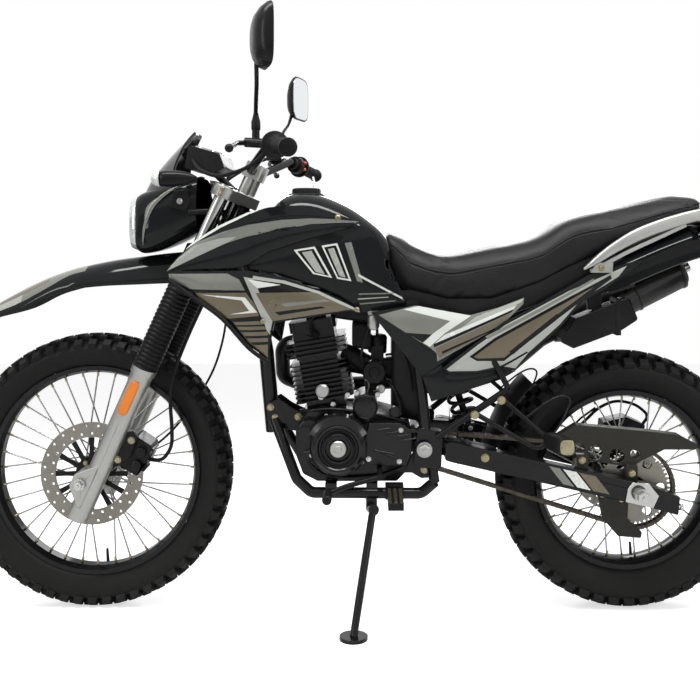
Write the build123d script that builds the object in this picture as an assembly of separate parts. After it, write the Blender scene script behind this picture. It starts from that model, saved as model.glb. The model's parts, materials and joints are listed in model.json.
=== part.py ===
from build123d import *
import math
import os

# Overall sizes in millimetres. X runs to the rear, Y to the rider's right, Z up.
# The bike is drawn upright about a point midway between the axles, then leaned on its stand.
WHEELBASE = 1340.0
FRONT_AXLE_X = -670.0
LEAN = 9.5
RAKE = 24.16
FRONT_TYRE_R = 345.0
FRONT_TYRE_HALF = 41.0
FRONT_RIM_OUTER_R = 264.0
FRONT_RIM_INNER_R = 246.0
FRONT_RIM_HALF = 23.0
REAR_TYRE_R = 323.0
REAR_TYRE_HALF = 55.0
REAR_RIM_OUTER_R = 226.0
REAR_RIM_INNER_R = 207.0
REAR_RIM_HALF = 30.0
SPOKES = 36
SPOKE_R = 1.9
SEAT_GAP = 0.3
RUN_FIT = 0.05

# Fork and steering, in the frame of the fork: x behind the axle, z up along the legs.
AXLE_LEAD = 23.0
CLAMP_OFFSET = 45.0
LEG_Y = 95.0
LOWER_R = 26.0
LUG_HALF = 27.0
LOWER_BOTTOM = -89.0
LOWER_TOP = 297.0
STANCHION_R = 17.5
GAITER_TOP = 598.0
GAITER_R = 32.0
GAITER_RIBS = 26
LOWER_CLAMP_BOTTOM = 600.0
LOWER_CLAMP_TOP = 630.0
UPPER_CLAMP_BOTTOM = 765.0
UPPER_CLAMP_TOP = 793.0
STEM_R = 15.0
HEAD_TUBE_R = 27.0
FRONT_AXLE_R = 8.0

# Handlebar
BAR_R = 11.0
BAR_CLAMP = (-267.0, 0.0, 1102.0)
BAR_HALF = 395.0
BAR_END = (-142.0, BAR_HALF, 1122.0)
BAR_BEND = (-203.0, 222.0, 1148.0)
BAR_CLAMP_HALF = 85.0
GRIP_LENGTH = 124.0
GRIP_R = 17.0

# Drive
CHAIN_PITCH = 12.7
REAR_TEETH = 48
FRONT_TEETH = 17
FRONT_SPROCKET = (115.0, -82.0, 430.0)
SPROCKET_Y = -82.0
CHAIN_HALF = 8.0
PIVOT = (155.0, 0.0, 430.0)
REAR_AXLE_R = 8.5

STEER_X = AXLE_LEAD + CLAMP_OFFSET
FRONT_AXLE = Vector(FRONT_AXLE_X, 0, FRONT_TYRE_R)
REAR_AXLE = Vector(FRONT_AXLE_X + WHEELBASE, 0, REAR_TYRE_R)
FORK = Pos(FRONT_AXLE.X, FRONT_AXLE.Y, FRONT_AXLE.Z) * Rot(0, RAKE, 0)

STAND_PIVOT = Vector(30, -104, 280)
STAND_FOOT_Y = -236.0
TYRE_SINK = 0.9
STAND_FOOT = Vector(-12, STAND_FOOT_Y, -STAND_FOOT_Y * math.tan(math.radians(LEAN)) - TYRE_SINK)
STAND_FOLDED = Vector(1.0, -0.05, 0.02)

stand_way = STAND_FOOT - STAND_PIVOT
stand_turn = (stand_way.normalized() - STAND_FOLDED.normalized()).normalized()
STAND_AXIS = (Vector(0, -1, 0) - stand_turn * Vector(0, -1, 0).dot(stand_turn)).normalized()
stand_plane = Plane(origin=STAND_PIVOT, x_dir=Vector(1, 0, 0) - STAND_AXIS * STAND_AXIS.X, z_dir=STAND_AXIS)


def across_pin(way):
    flat = way.normalized() - STAND_AXIS * way.normalized().dot(STAND_AXIS)
    return flat.normalized()


STAND_RANGE = math.degrees(math.acos(across_pin(stand_way).dot(across_pin(STAND_FOLDED))))

nodes = {}


def add(name, *shapes):
    nodes[name] = list(shapes)


def mirror_y(shape):
    return mirror(shape, about=Plane.XZ)


def mirror_point(point):
    return Vector(point.X, -point.Y, point.Z)


def rod(start, end, radius):
    start, end = Vector(*start), Vector(*end)
    way = end - start
    return Solid.make_cylinder(radius, way.length, Plane(origin=start, z_dir=way))


def cross_rod(x, z, radius, y_low, y_high):
    return rod((x, y_low, z), (x, y_high, z), radius)


def tube(points, radius, bend):
    path = FilletPolyline(*points, radius=bend)
    start = Plane(origin=path @ 0, z_dir=path % 0)
    return sweep(start * Circle(radius), path=path)


def hose(points, radius):
    """Round hose along straight runs joined by arcs as large as the runs allow."""
    corners = [Vector(*point) for point in points]
    bends = []
    for before, here, after in zip(corners, corners[1:], corners[2:]):
        turn = math.radians((here - before).get_angle(after - here))
        bends.append(0.45 * min((here - before).length, (after - here).length) / math.tan(turn / 2))
    path = FilletPolyline(*points, radius=bends)
    return sweep(Plane(origin=path @ 0, z_dir=path % 0) * Circle(radius), path=path)


def ring(profile):
    return revolve(make_face(Polyline(*profile, close=True)), Axis.Y)


def side_plate(outline, y_low, y_high, corner=0.0):
    face = make_face(Polyline(*outline, close=True))
    if corner:
        face = fillet(face.vertices(), corner)
    return extrude(Plane.XZ.offset(-y_high) * face, y_high - y_low)


def box(x_low, x_high, y_low, y_high, z_low, z_high):
    size = (x_high - x_low, y_high - y_low, z_high - z_low)
    return Pos((x_low + x_high) / 2, (y_low + y_high) / 2, (z_low + z_high) / 2) * Box(*size)


def band_wall(plan, thickness, z_low, z_high):
    """Upright wall that follows a plan line, from the line outward by the thickness."""
    outer = [(x, y + math.copysign(thickness, y)) for x, y in plan]
    face = make_face(Polyline(*(plan + outer[::-1]), close=True))
    return Pos(0, 0, z_low) * extrude(face, z_high - z_low)


def panel(outline, plan, thickness, corner=4.0):
    """Thin side panel: the side outline cut out of a wall that follows the plan line."""
    ys = [abs(y) for _, y in plan]
    zs = [z for _, z in outline]
    wall = band_wall(plan, thickness, min(zs) - 5, max(zs) + 5)
    cutter = side_plate(outline, -max(ys) - thickness - 5, -min(ys) + 5, corner)
    return wall & cutter


def rounded_loft(table):
    """Loft of rounded rectangles across X; columns: x, half_width, bottom, top, corner."""
    sections = []
    for x, half_width, bottom, top, corner in table:
        sketch = RectangleRounded(2 * half_width, top - bottom, corner)
        sections.append(Plane.YZ.offset(x) * Pos(0, (bottom + top) / 2) * sketch)
    return loft(sections)


def arch_loft(table):
    """Loft of arched sections across X; columns: x, half_width, edge, top."""
    sections = []
    for x, half_width, edge, top in table:
        arc = ThreePointArc((-half_width, edge), (0, top), (half_width, edge))
        base = Line((half_width, edge), (-half_width, edge))
        sections.append(Plane.YZ.offset(x) * make_face([arc, base]))
    return loft(sections)


def arch_shell(table, wall):
    inner = [(x, half - wall, edge - 1.0, top - wall) for x, half, edge, top in table]
    first, last = inner[0], inner[-1]
    inner[0] = (first[0] - 1.0,) + first[1:]
    inner[-1] = (last[0] + 1.0,) + last[1:]
    return arch_loft(table) - arch_loft(inner)


# Wheels, drawn about the origin and moved to their axles

def tyre(outer_r, half, seat_r, seat_half):
    shoulder_r = outer_r - 0.34 * half
    widest_r = seat_r + 0.52 * (outer_r - seat_r)
    crown = ThreePointArc((shoulder_r, -0.86 * half), (outer_r, 0), (shoulder_r, 0.86 * half))
    right = ThreePointArc((shoulder_r, 0.86 * half), (widest_r, half), (seat_r, 0.9 * seat_half))
    bead = Line((seat_r, 0.9 * seat_half), (seat_r, -0.9 * seat_half))
    left = ThreePointArc((seat_r, -0.9 * seat_half), (widest_r, -half), (shoulder_r, -0.86 * half))
    return revolve(make_face([crown, right, bead, left]), Axis.Y)


def rim(outer_r, inner_r, half):
    lip = 4.0
    profile = [(inner_r, -0.45 * half), (inner_r + 7, -half), (outer_r, -half), (outer_r, -half + lip),
               (outer_r - 9, -half + lip + 4), (inner_r + 4, -0.3 * half), (inner_r + 4, 0.3 * half),
               (outer_r - 9, half - lip - 4), (outer_r, half - lip), (outer_r, half),
               (inner_r + 7, half), (inner_r, 0.45 * half)]
    return ring(profile)


def spokes(flange_r, flange_y, rim_r):
    rods = []
    for index in range(SPOKES):
        turn = 360.0 / SPOKES
        rim_angle = math.radians(index * turn)
        side = -1 if index % 2 else 1
        lean = math.radians(38.0 if index % 4 < 2 else -38.0)
        hub_angle = rim_angle + lean
        start = (flange_r * math.cos(hub_angle), side * flange_y, flange_r * math.sin(hub_angle))
        end_r = rim_r - 0.8
        end = (end_r * math.cos(rim_angle), side * 4.0, end_r * math.sin(rim_angle))
        rods.append(rod(start, end, SPOKE_R))
    return rods


front_place = Pos(FRONT_AXLE.X, 0, FRONT_AXLE.Z)
rear_place = Pos(REAR_AXLE.X, 0, REAR_AXLE.Z)

FRONT_FLANGE_R = 34.0
REAR_FLANGE_R = 48.0
front_hub = ring([(FRONT_AXLE_R + RUN_FIT, -55), (20, -55), (20, -42), (42, -42), (42, -36), (30, -34),
                  (21, -26), (21, 26), (28, 31), (38, 33), (38, 38), (18, 40), (18, 55),
                  (FRONT_AXLE_R + RUN_FIT, 55)])
rear_hub = ring([(REAR_AXLE_R + RUN_FIT, -76), (30, -76), (30, -68), (58, -68), (58, -58), (52, -56),
                 (52, -46), (34, -40), (34, 40), (52, 46), (52, 52), (40, 58), (40, 68), (24, 70),
                 (24, 78), (REAR_AXLE_R + RUN_FIT, 78)])
add("front_tyre", front_place * tyre(FRONT_TYRE_R, FRONT_TYRE_HALF, FRONT_RIM_OUTER_R + SEAT_GAP, FRONT_RIM_HALF))
add("front_rim", front_place * rim(FRONT_RIM_OUTER_R, FRONT_RIM_INNER_R, FRONT_RIM_HALF))
add("front_hub", front_place * front_hub)
add("front_spokes", *[front_place * s for s in spokes(FRONT_FLANGE_R, 30.0, FRONT_RIM_INNER_R - SEAT_GAP)])
add("rear_tyre", rear_place * tyre(REAR_TYRE_R, REAR_TYRE_HALF, REAR_RIM_OUTER_R + SEAT_GAP, REAR_RIM_HALF))
add("rear_rim", rear_place * rim(REAR_RIM_OUTER_R, REAR_RIM_INNER_R, REAR_RIM_HALF))
add("rear_hub", rear_place * rear_hub)
add("rear_spokes", *[rear_place * s for s in spokes(REAR_FLANGE_R, 42.5, REAR_RIM_INNER_R - SEAT_GAP)])

DISC_R = 128.0
DISC_INNER_R = 91.0
DISC_HOLES = 24
HOLE_R = 3.6
DISC_ARMS = 12


def brake_disc(outer_r, inner_r, hub_r, y_mid, thickness):
    plate = ring([(inner_r, -thickness / 2), (outer_r, -thickness / 2), (outer_r, thickness / 2),
                  (inner_r, thickness / 2)])
    spider = ring([(hub_r, -thickness / 2), (hub_r + 16, -thickness / 2), (hub_r + 16, thickness / 2),
                   (hub_r, thickness / 2)])
    arms = [Rot(0, 360.0 / DISC_ARMS * i, 0) * box(hub_r + 6, inner_r + 5, -thickness / 2, thickness / 2, -4, 4)
            for i in range(DISC_ARMS)]
    holes = []
    for share, shift in ((0.24, 0.0), (0.76, 0.5)):
        radius = inner_r + (outer_r - inner_r) * share
        for index in range(DISC_HOLES):
            angle = 2 * math.pi * (index + shift) / DISC_HOLES
            holes.append(cross_rod(radius * math.cos(angle), radius * math.sin(angle), HOLE_R, -thickness, thickness))
    return Pos(0, y_mid, 0) * ((plate + spider + arms) - holes)


add("front_disc", front_place * brake_disc(DISC_R, DISC_INNER_R, 20.0 + RUN_FIT, -44.2, 4.0))
add("rear_disc", rear_place * brake_disc(110.0, 76.0, 40.0 + RUN_FIT, 60.2, 4.0))


def pitch_radius(teeth):
    return CHAIN_PITCH / (2 * math.sin(math.pi / teeth))


REAR_PITCH_R = pitch_radius(REAR_TEETH)
FRONT_PITCH_R = pitch_radius(FRONT_TEETH)
TOOTH_TIP_R = REAR_PITCH_R - 7.6
sprocket_outline = []
for tooth in range(REAR_TEETH):
    step = 2 * math.pi / REAR_TEETH
    for share, radius in ((-0.30, TOOTH_TIP_R - 6.5), (-0.12, TOOTH_TIP_R), (0.12, TOOTH_TIP_R),
                          (0.30, TOOTH_TIP_R - 6.5)):
        angle = (tooth + share) * step
        sprocket_outline.append((radius * math.cos(angle), radius * math.sin(angle)))
sprocket = side_plate(sprocket_outline, SPROCKET_Y - 3, SPROCKET_Y + 3)
sprocket = sprocket - cross_rod(0, 0, 30 + RUN_FIT, -200, 200)
SPROCKET_HOLES = 6
for index in range(SPROCKET_HOLES):
    angle = math.radians(360.0 / SPROCKET_HOLES * index)
    sprocket = sprocket - cross_rod(66 * math.cos(angle), 66 * math.sin(angle), 12, -200, 200)
carrier = ring([(30 + RUN_FIT, SPROCKET_Y + 3), (50, SPROCKET_Y + 3), (50, -68 - SEAT_GAP),
                (30 + RUN_FIT, -68 - SEAT_GAP)])
add("rear_sprocket", rear_place * (sprocket + carrier))

# Chain: one closed loop whose outline waists in between the pins

def chain_loop():
    ax, az = FRONT_SPROCKET[0], FRONT_SPROCKET[2]
    bx, bz = REAR_AXLE.X, REAR_AXLE.Z
    gap = math.hypot(bx - ax, bz - az)
    base = math.atan2(bz - az, bx - ax)
    tilt = math.asin((REAR_PITCH_R - FRONT_PITCH_R) / gap)
    run = gap * math.cos(tilt)
    top_angle = base + math.pi / 2 + tilt
    low_angle = base - math.pi / 2 - tilt
    rear_arc = REAR_PITCH_R * (math.pi + 2 * tilt)
    front_arc = FRONT_PITCH_R * (math.pi - 2 * tilt)
    total = 2 * run + rear_arc + front_arc
    count = 2 * round(total / CHAIN_PITCH / 2)
    step = total / count / 2

    def at(length):
        if length < run:
            share = length / run
            start = (ax + FRONT_PITCH_R * math.cos(top_angle), az + FRONT_PITCH_R * math.sin(top_angle))
            end = (bx + REAR_PITCH_R * math.cos(top_angle), bz + REAR_PITCH_R * math.sin(top_angle))
            return (start[0] + share * (end[0] - start[0]), start[1] + share * (end[1] - start[1]), top_angle)
        length -= run
        if length < rear_arc:
            angle = top_angle - length / REAR_PITCH_R
            return (bx + REAR_PITCH_R * math.cos(angle), bz + REAR_PITCH_R * math.sin(angle), angle)
        length -= rear_arc
        if length < run:
            share = length / run
            start = (bx + REAR_PITCH_R * math.cos(low_angle), bz + REAR_PITCH_R * math.sin(low_angle))
            end = (ax + FRONT_PITCH_R * math.cos(low_angle), az + FRONT_PITCH_R * math.sin(low_angle))
            return (start[0] + share * (end[0] - start[0]), start[1] + share * (end[1] - start[1]), low_angle)
        length -= run
        angle = low_angle - length / FRONT_PITCH_R
        return (ax + FRONT_PITCH_R * math.cos(angle), az + FRONT_PITCH_R * math.sin(angle), angle)

    outer, inner = [], []
    for index in range(2 * count):
        x, z, angle = at(index * step)
        depth = 5.6 if index % 2 else 7.0
        outer.append((x + depth * math.cos(angle), z + depth * math.sin(angle)))
        inner.append((x - depth * math.cos(angle), z - depth * math.sin(angle)))
    low, high = SPROCKET_Y - CHAIN_HALF, SPROCKET_Y + CHAIN_HALF
    return side_plate(outer, low, high) - side_plate(inner, low - 1, high + 1)


add("chain", chain_loop())

# Fork, drawn in its own frame and then leaned back by the rake

leg_parts, stanchions, gaiters = [], [], []
for side in (-1, 1):
    leg_y = side * LEG_Y
    leg = Pos(AXLE_LEAD, leg_y, 0) * (Pos(0, 0, (LOWER_BOTTOM + LOWER_TOP) / 2)
                                      * Cylinder(LOWER_R, LOWER_TOP - LOWER_BOTTOM))
    lug = side_plate([(-22, -14), (-14, -24), (24, -60), (24, 60), (-14, 24), (-22, 14)],
                     leg_y - LUG_HALF, leg_y + LUG_HALF, 5)
    leg = leg + lug
    leg = leg - Pos(AXLE_LEAD, leg_y, LOWER_TOP - 30) * Cylinder(STANCHION_R + SEAT_GAP, 60.2)
    leg = leg - cross_rod(0, 0, FRONT_AXLE_R + RUN_FIT, -200, 200)
    leg_parts.append(leg)
    stanchions.append(Pos(AXLE_LEAD, leg_y, (LOWER_TOP - 59.5 + UPPER_CLAMP_TOP + 4) / 2)
                      * Cylinder(STANCHION_R, UPPER_CLAMP_TOP + 4 - LOWER_TOP + 59.5))
    profile = [(STANCHION_R + 0.6, LOWER_TOP + SEAT_GAP)]
    pitch = (GAITER_TOP - LOWER_TOP - SEAT_GAP) / GAITER_RIBS
    for rib in range(GAITER_RIBS):
        low = LOWER_TOP + SEAT_GAP + rib * pitch
        profile.append((GAITER_R - 5.5, low))
        profile.append((GAITER_R, low + pitch / 2))
    profile.append((GAITER_R - 5.5, GAITER_TOP))
    profile.append((STANCHION_R + 0.6, GAITER_TOP))
    bellows = revolve(make_face(Plane.XZ * Polyline(*profile, close=True)), Axis.Z)
    gaiters.append(Pos(AXLE_LEAD, leg_y, 0) * bellows)

CALIPER_LUG = side_plate([(40, 60), (62, 66), (78, 96), (78, 150), (60, 160), (40, 150)], -LEG_Y - 6, -LEG_Y + 6, 4)
leg_parts[0] = leg_parts[0] + CALIPER_LUG
add("fork_lowers", *[FORK * part for part in leg_parts])
add("fork_stanchions", *[FORK * part for part in stanchions])
add("fork_gaiters", *[FORK * part for part in gaiters])

front_axle = cross_rod(0, 0, FRONT_AXLE_R, -126, 126)
front_axle = front_axle + cross_rod(0, 0, 14, -130, -LEG_Y - LUG_HALF - SEAT_GAP)
front_axle = front_axle + cross_rod(0, 0, 14, LEG_Y + LUG_HALF + SEAT_GAP, 130)
for low, high in ((-LEG_Y + LUG_HALF + SEAT_GAP, -55.5), (55.5, LEG_Y - LUG_HALF - SEAT_GAP)):
    front_axle = front_axle + cross_rod(0, 0, 13, low, high)
add("front_axle", FORK * front_axle)


def clamp_plate(z_low, z_high, stem_boss):
    outline = make_hull((Pos(AXLE_LEAD, LEG_Y) * Circle(30)).edges() + (Pos(AXLE_LEAD, -LEG_Y) * Circle(30)).edges()
                        + (Pos(STEER_X, 0) * Circle(stem_boss)).edges())
    plate = Pos(0, 0, z_low) * extrude(outline, z_high - z_low)
    for side in (-1, 1):
        plate = plate - Pos(AXLE_LEAD, side * LEG_Y, (z_low + z_high) / 2) * Cylinder(STANCHION_R + 0.1, 200)
    return plate


lower_clamp = clamp_plate(LOWER_CLAMP_BOTTOM, LOWER_CLAMP_TOP, 28)
stem = Pos(STEER_X, 0, (LOWER_CLAMP_TOP + UPPER_CLAMP_BOTTOM) / 2 - SEAT_GAP / 2) * Cylinder(
    STEM_R, UPPER_CLAMP_BOTTOM - LOWER_CLAMP_TOP - SEAT_GAP)
add("lower_clamp", FORK * (lower_clamp + stem))

upper_clamp = FORK * clamp_plate(UPPER_CLAMP_BOTTOM, UPPER_CLAMP_TOP, 30)
clamp_at = Vector(*BAR_CLAMP)
for side in (-1, 1):
    base = FORK * Pos(STEER_X - 10, side * 45, UPPER_CLAMP_TOP - 2)
    riser = rod(tuple(base.position), (clamp_at.X, side * 45, clamp_at.Z), 15)
    block = Pos(clamp_at.X, side * 45, clamp_at.Z) * Rot(0, RAKE, 0) * Box(40, 34, 40)
    upper_clamp = upper_clamp + riser + block
bar_line = [(BAR_END[0], -BAR_END[1], BAR_END[2]), (BAR_BEND[0], -BAR_BEND[1], BAR_BEND[2]),
            (BAR_CLAMP[0], -BAR_CLAMP_HALF, BAR_CLAMP[2]), (BAR_CLAMP[0], BAR_CLAMP_HALF, BAR_CLAMP[2]),
            (BAR_BEND[0], BAR_BEND[1], BAR_BEND[2]), (BAR_END[0], BAR_END[1], BAR_END[2])]
handlebar = tube(bar_line, BAR_R, 45)
bar_clear = tube(bar_line, BAR_R + 0.1, 45)
upper_clamp = upper_clamp - cross_rod(clamp_at.X, clamp_at.Z, BAR_R + 0.1, -75, 75)
add("upper_clamp", upper_clamp)
add("handlebar", handlebar)

# Everything on the bar ends is drawn for the left and mirrored

grip_end = Vector(BAR_END[0], -BAR_END[1], BAR_END[2])
bar_way = (Vector(BAR_BEND[0], -BAR_BEND[1], BAR_BEND[2]) - grip_end).normalized()
grip_plane = Plane(origin=grip_end, z_dir=bar_way)


def bar_ring(start, end, radius):
    return grip_plane * Pos(0, 0, (start + end) / 2) * Cylinder(radius, end - start)


grip = bar_ring(-5, GRIP_LENGTH, GRIP_R) + bar_ring(GRIP_LENGTH - 5, GRIP_LENGTH, 30) - bar_ring(0, 150, BAR_R + 0.1)
add("grips", grip, mirror_y(grip))

PERCH_AT = 168.0
perch_centre = grip_end + bar_way * PERCH_AT
LEVER_PIVOT = grip_end + Vector(-114, 173, 30)
LEVER_TIP = grip_end + Vector(-120, 10, -1)
LEVER_KNEE = grip_end + Vector(-126, 133, 24)
left_controls = bar_ring(GRIP_LENGTH + 3, 156, 23) + bar_ring(156, 175, 17)
perch_arm = rod(tuple(perch_centre + Vector(-10, 0, 2)), tuple(LEVER_PIVOT), 11)
left_controls = left_controls + perch_arm
left_controls = left_controls - bar_clear
MIRROR_BOSS = grip_end + Vector(-90, 169, 30)
left_controls = left_controls + rod(tuple(MIRROR_BOSS), tuple(MIRROR_BOSS + Vector(0, 0, 26)), 9)
lever = tube([tuple(LEVER_PIVOT + Vector(0, 8, 0)), tuple(LEVER_KNEE), tuple(LEVER_TIP)], 6, 30)
lever = lever + Pos(*LEVER_TIP) * Sphere(9)
left_controls = left_controls + lever
right_controls = mirror_y(left_controls)
reservoir_low = mirror_point(LEVER_PIVOT) + Vector(-10, -42, -2)
reservoir = box(reservoir_low.X, reservoir_low.X + 43, reservoir_low.Y, reservoir_low.Y + 35,
                reservoir_low.Z, reservoir_low.Z + 40)
right_controls = right_controls + reservoir
add("bar_controls", left_controls, right_controls)

MIRROR_LOW = 1287.0
MIRROR_HIGH = 1420.0
MIRROR_Y = MIRROR_BOSS.Y - 146.0
boss_top = MIRROR_BOSS + Vector(0, 0, 26 + SEAT_GAP)
stem_line = [tuple(boss_top), tuple(boss_top + Vector(0, 0, 20)), (-218, MIRROR_Y + 72, 1262), (-200, MIRROR_Y, 1320)]
mirror_stem = tube(stem_line, 5, 16)
mirror_mid = (MIRROR_LOW + MIRROR_HIGH) / 2
# Columns: x, width, height, corner, drop of the centre
MIRROR_SECTIONS = [(-184, 112, MIRROR_HIGH - MIRROR_LOW, 26, 0), (-204, 98, 116, 30, 2), (-218, 58, 70, 28, 6)]
shell = loft([Plane.YZ.offset(x) * Pos(MIRROR_Y, mirror_mid - drop) * RectangleRounded(width, height, corner)
              for x, width, height, corner, drop in MIRROR_SECTIONS])
left_mirror = mirror_stem + shell
add("mirrors", left_mirror, mirror_y(left_mirror))

# Headlight cowl, lens, screen, dials, fender

COWL = [(-548, 72, 902, 1046, 26), (-480, 87, 928, 1068, 32), (-380, 92, 960, 1092, 34)]
COWL_WALL = 4.0
cowl_outer = rounded_loft(COWL)
COWL_STEPS = (COWL_WALL, 0.0, 1.0)
cowl_inner = rounded_loft([(x + step, half - COWL_WALL, low + COWL_WALL, high - COWL_WALL, corner - COWL_WALL)
                           for step, (x, half, low, high, corner) in zip(COWL_STEPS, COWL)])
cowl = cowl_outer - cowl_inner
behind_legs = FORK * Pos(AXLE_LEAD - 36 + 300, 0, 700) * Box(600, 600, 800)
cowl = cowl - behind_legs
cowl_ears = [FORK * Pos(AXLE_LEAD - 18, side * LEG_Y, 715) for side in (-1, 1)]
cowl = cowl + [rod((-418, math.copysign(88, ear.position.Y), 996), tuple(ear.position), 8) for ear in cowl_ears]
cowl = cowl - [FORK * Pos(AXLE_LEAD, side * LEG_Y, 700) * Cylinder(STANCHION_R + 0.2, 300) for side in (-1, 1)]
add("headlight_cowl", cowl)
lens = rounded_loft([(-548 - SEAT_GAP, 70, 904, 1044, 25), (-566, 64, 910, 1036, 28), (-581, 40, 950, 1012, 24)])
add("headlight_lens", lens)

SCREEN = [(-549, 1041), (-500, 1102), (-415, 1200)]
SCREEN_THICK = 4.0
screen_back = [(SCREEN[2][0] + SCREEN_THICK, SCREEN[2][1] - 3), (SCREEN[1][0] + SCREEN_THICK, SCREEN[1][1] - 4),
               (SCREEN[0][0] + SCREEN_THICK + 2, SCREEN[0][1])]
screen_face = make_face(Polyline(*(SCREEN + screen_back), close=True))
screen = extrude(Plane.XZ.offset(-78) * screen_face, 156)
SCREEN_PLAN = [(-560, -66), (-520, -76), (-400, -46), (-400, 46), (-520, 76), (-560, 66)]
screen_trim = Pos(0, 0, 1000) * extrude(make_face(Polyline(*SCREEN_PLAN, close=True)), 260)
add("windscreen", (screen & screen_trim) - cowl_outer - lens)

dial = side_plate([(-431, 1105), (-420, 1163), (-345, 1142), (-332, 1108), (-350, 1093)], -78, 78, 6)
dial_foot = rod((-372, 0, 1100), tuple((FORK * Pos(STEER_X - 38, 0, UPPER_CLAMP_TOP - 6)).position), 9)
add("instrument", (dial + dial_foot) - upper_clamp)

FENDER = [(-965, 34, 722, 736), (-858, 58, 752, 803), (-700, 66, 812, 862), (-557, 62, 822, 886), (-436, 46, 826, 899), (-408, 44, 832, 904)]
fender = arch_shell(FENDER, 4.0)
fender = fender - FORK * Pos(0, 0, LOWER_CLAMP_BOTTOM - SEAT_GAP + 100) * Box(400, 400, 200)
add("front_fender", fender)

front_lamp = rod((-420, -86, 1072), (-420, -162, 1072), 7)
front_lamp = front_lamp + rod((-462, -172, 1074), (-395, -172, 1074), 19) + Pos(-395, -172, 1074) * Sphere(19)
add("front_indicators", front_lamp - cowl_outer, mirror_y(front_lamp - cowl_outer))

caliper = side_plate([(62, 62), (112, 58), (122, 96), (116, 140), (66, 148)], -LEG_Y + 6 + SEAT_GAP, -31, 8)
slot = cross_rod(0, 0, DISC_R + 5, -49.2, -39.2)
caliper_body = caliper - slot
add("front_caliper", FORK * caliper_body)

CALIPER_BACK = 122.0
RESERVOIR_FACE = reservoir_low.Y
brake_hose = FORK * hose([(CALIPER_BACK - 6, -62, 97), (150, -63, 108), (158, -65, 150), (136, -67, 200), (108, -68, 250),
                          (86, -67, 320), (81, -65, 420), (83, -63, 520), (82, -62, 630), (46, -58, 694), (-2, -46, 738),
                          (-28, -8, 758), (-27, 60, 774), (-16, 106, 818), (26, 144, 884), (52, RESERVOIR_FACE + 4, 916)], 4.5)
speed_cable = FORK * hose([(34, 58, 20), (78, 66, 44), (124, 73, 130), (148, 75, 230), (160, 75, 330), (146, 73, 430),
                           (112, 68, 530), (84, 64, 630), (44, 58, 694), (2, 54, 728), (-14, 50, 766), (-11, 48, 826)], 3.0)
loom = hose([(-200, -262, 1128), (-250, -222, 1094), (-330, -170, 1076), (-385, -124, 1098), (-412, -74, 1126)], 4.5)
add("control_lines", brake_hose - FORK * caliper_body - right_controls, speed_cable - nodes["instrument"][0] - FORK * leg_parts[1],
    loom - left_controls - nodes["instrument"][0])

# Frame

head_tube = Pos(STEER_X, 0, (LOWER_CLAMP_TOP + UPPER_CLAMP_BOTTOM) / 2) * Cylinder(
    HEAD_TUBE_R, UPPER_CLAMP_BOTTOM - LOWER_CLAMP_TOP - 10)
stem_bore = Pos(STEER_X, 0, 700) * Cylinder(STEM_R + RUN_FIT, 400)
SPINE_FRONT = (-326.0, 0.0, 940.0)
SPINE_REAR = (128.0, 0.0, 785.0)
SPINE_R = 22.0
SPINE_CROSS_Z = 772.0
spine = FORK * head_tube + rod(SPINE_FRONT, SPINE_REAR, SPINE_R)
spine = spine + cross_rod(128, SPINE_CROSS_Z, 15, -108, 108)
spine = spine - FORK * stem_bore
DOWN_R = 19.0
DOWN_LINE = [(-322, 0, 930), (-276, 0, 846), (-240, 0, 640), (-222, 0, 440)]
down_tube = tube(DOWN_LINE, DOWN_R, 80) - (FORK * head_tube) - (FORK * stem_bore)
down_tube = down_tube - spine
RAIL_R = 13.0
RAIL_LINE = [(-216, -26, 474), (-154, -84, 345), (-118, -88, 313), (150, -94, 313), (181, -106, 345)]
rail = tube(RAIL_LINE, RAIL_R, 26) - down_tube
upright = tube([(181, -106, 345), (160, -106, 470), (130, -104, SPINE_CROSS_Z - 15)], RAIL_R, 100)
pivot_plate = side_plate([(130, 385), (196, 380), (200, 470), (140, 480)], -120, -94, 10)
upright = (upright + pivot_plate) - rail - spine
upright = upright - cross_rod(PIVOT[0], PIVOT[2], 9, -200, 200)
PEG_LUG = box(62, 106, -118, -92, 306, 340)
STAND_LUG = stand_plane * (Pos(0, 17, -7.2) * Box(26, 34, 13.6) + Pos(0, 0, -7.2) * Cylinder(13, 13.6))
right_rail = mirror_y(rail)
rail = (rail + STAND_LUG) - stand_plane * Cylinder(6 + RUN_FIT, 60)
add("cradle_rails", rail, right_rail)
add("frame_uprights", upright, mirror_y(upright))

SEAT_RAIL_R = 11.0
SEAT_RAIL = [(120, -86, 733), (300, -86, 735), (560, -86, 828), (840, -80, 935)]
seat_rail = tube(SEAT_RAIL, SEAT_RAIL_R, 90) - upright
stay = rod((158, -88, 560), (505, -86, 806), 9) - seat_rail - upright
seat_rail = seat_rail + stay
seat_cross = cross_rod(600, 843.3, 8, -74.7, 74.7)
add("subframe", seat_rail, mirror_y(seat_rail),
    seat_cross)

# Swingarm, shock and rear axle

ARM_IN = 98.0
ARM_OUT = 128.0
ARM_FRONT = 219.0
ARM_TOP = (448.0, REAR_AXLE.Z + 19)
ARM_LOW = (399.0, REAR_AXLE.Z - 31)
ARM_LINE = [(205, 404), (ARM_FRONT, ARM_LOW[0]), (REAR_AXLE.X + 20, ARM_LOW[1]), (REAR_AXLE.X + 92, REAR_AXLE.Z - 51),
            (REAR_AXLE.X + 96, REAR_AXLE.Z - 7), (REAR_AXLE.X + 30, ARM_TOP[1]), (ARM_FRONT, ARM_TOP[0]), (205, 446)]


def arm_top(x):
    """Height of the arm's upper edge at x."""
    return ARM_TOP[0] + (x - ARM_FRONT) / (REAR_AXLE.X + 30 - ARM_FRONT) * (ARM_TOP[1] - ARM_TOP[0])


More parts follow.
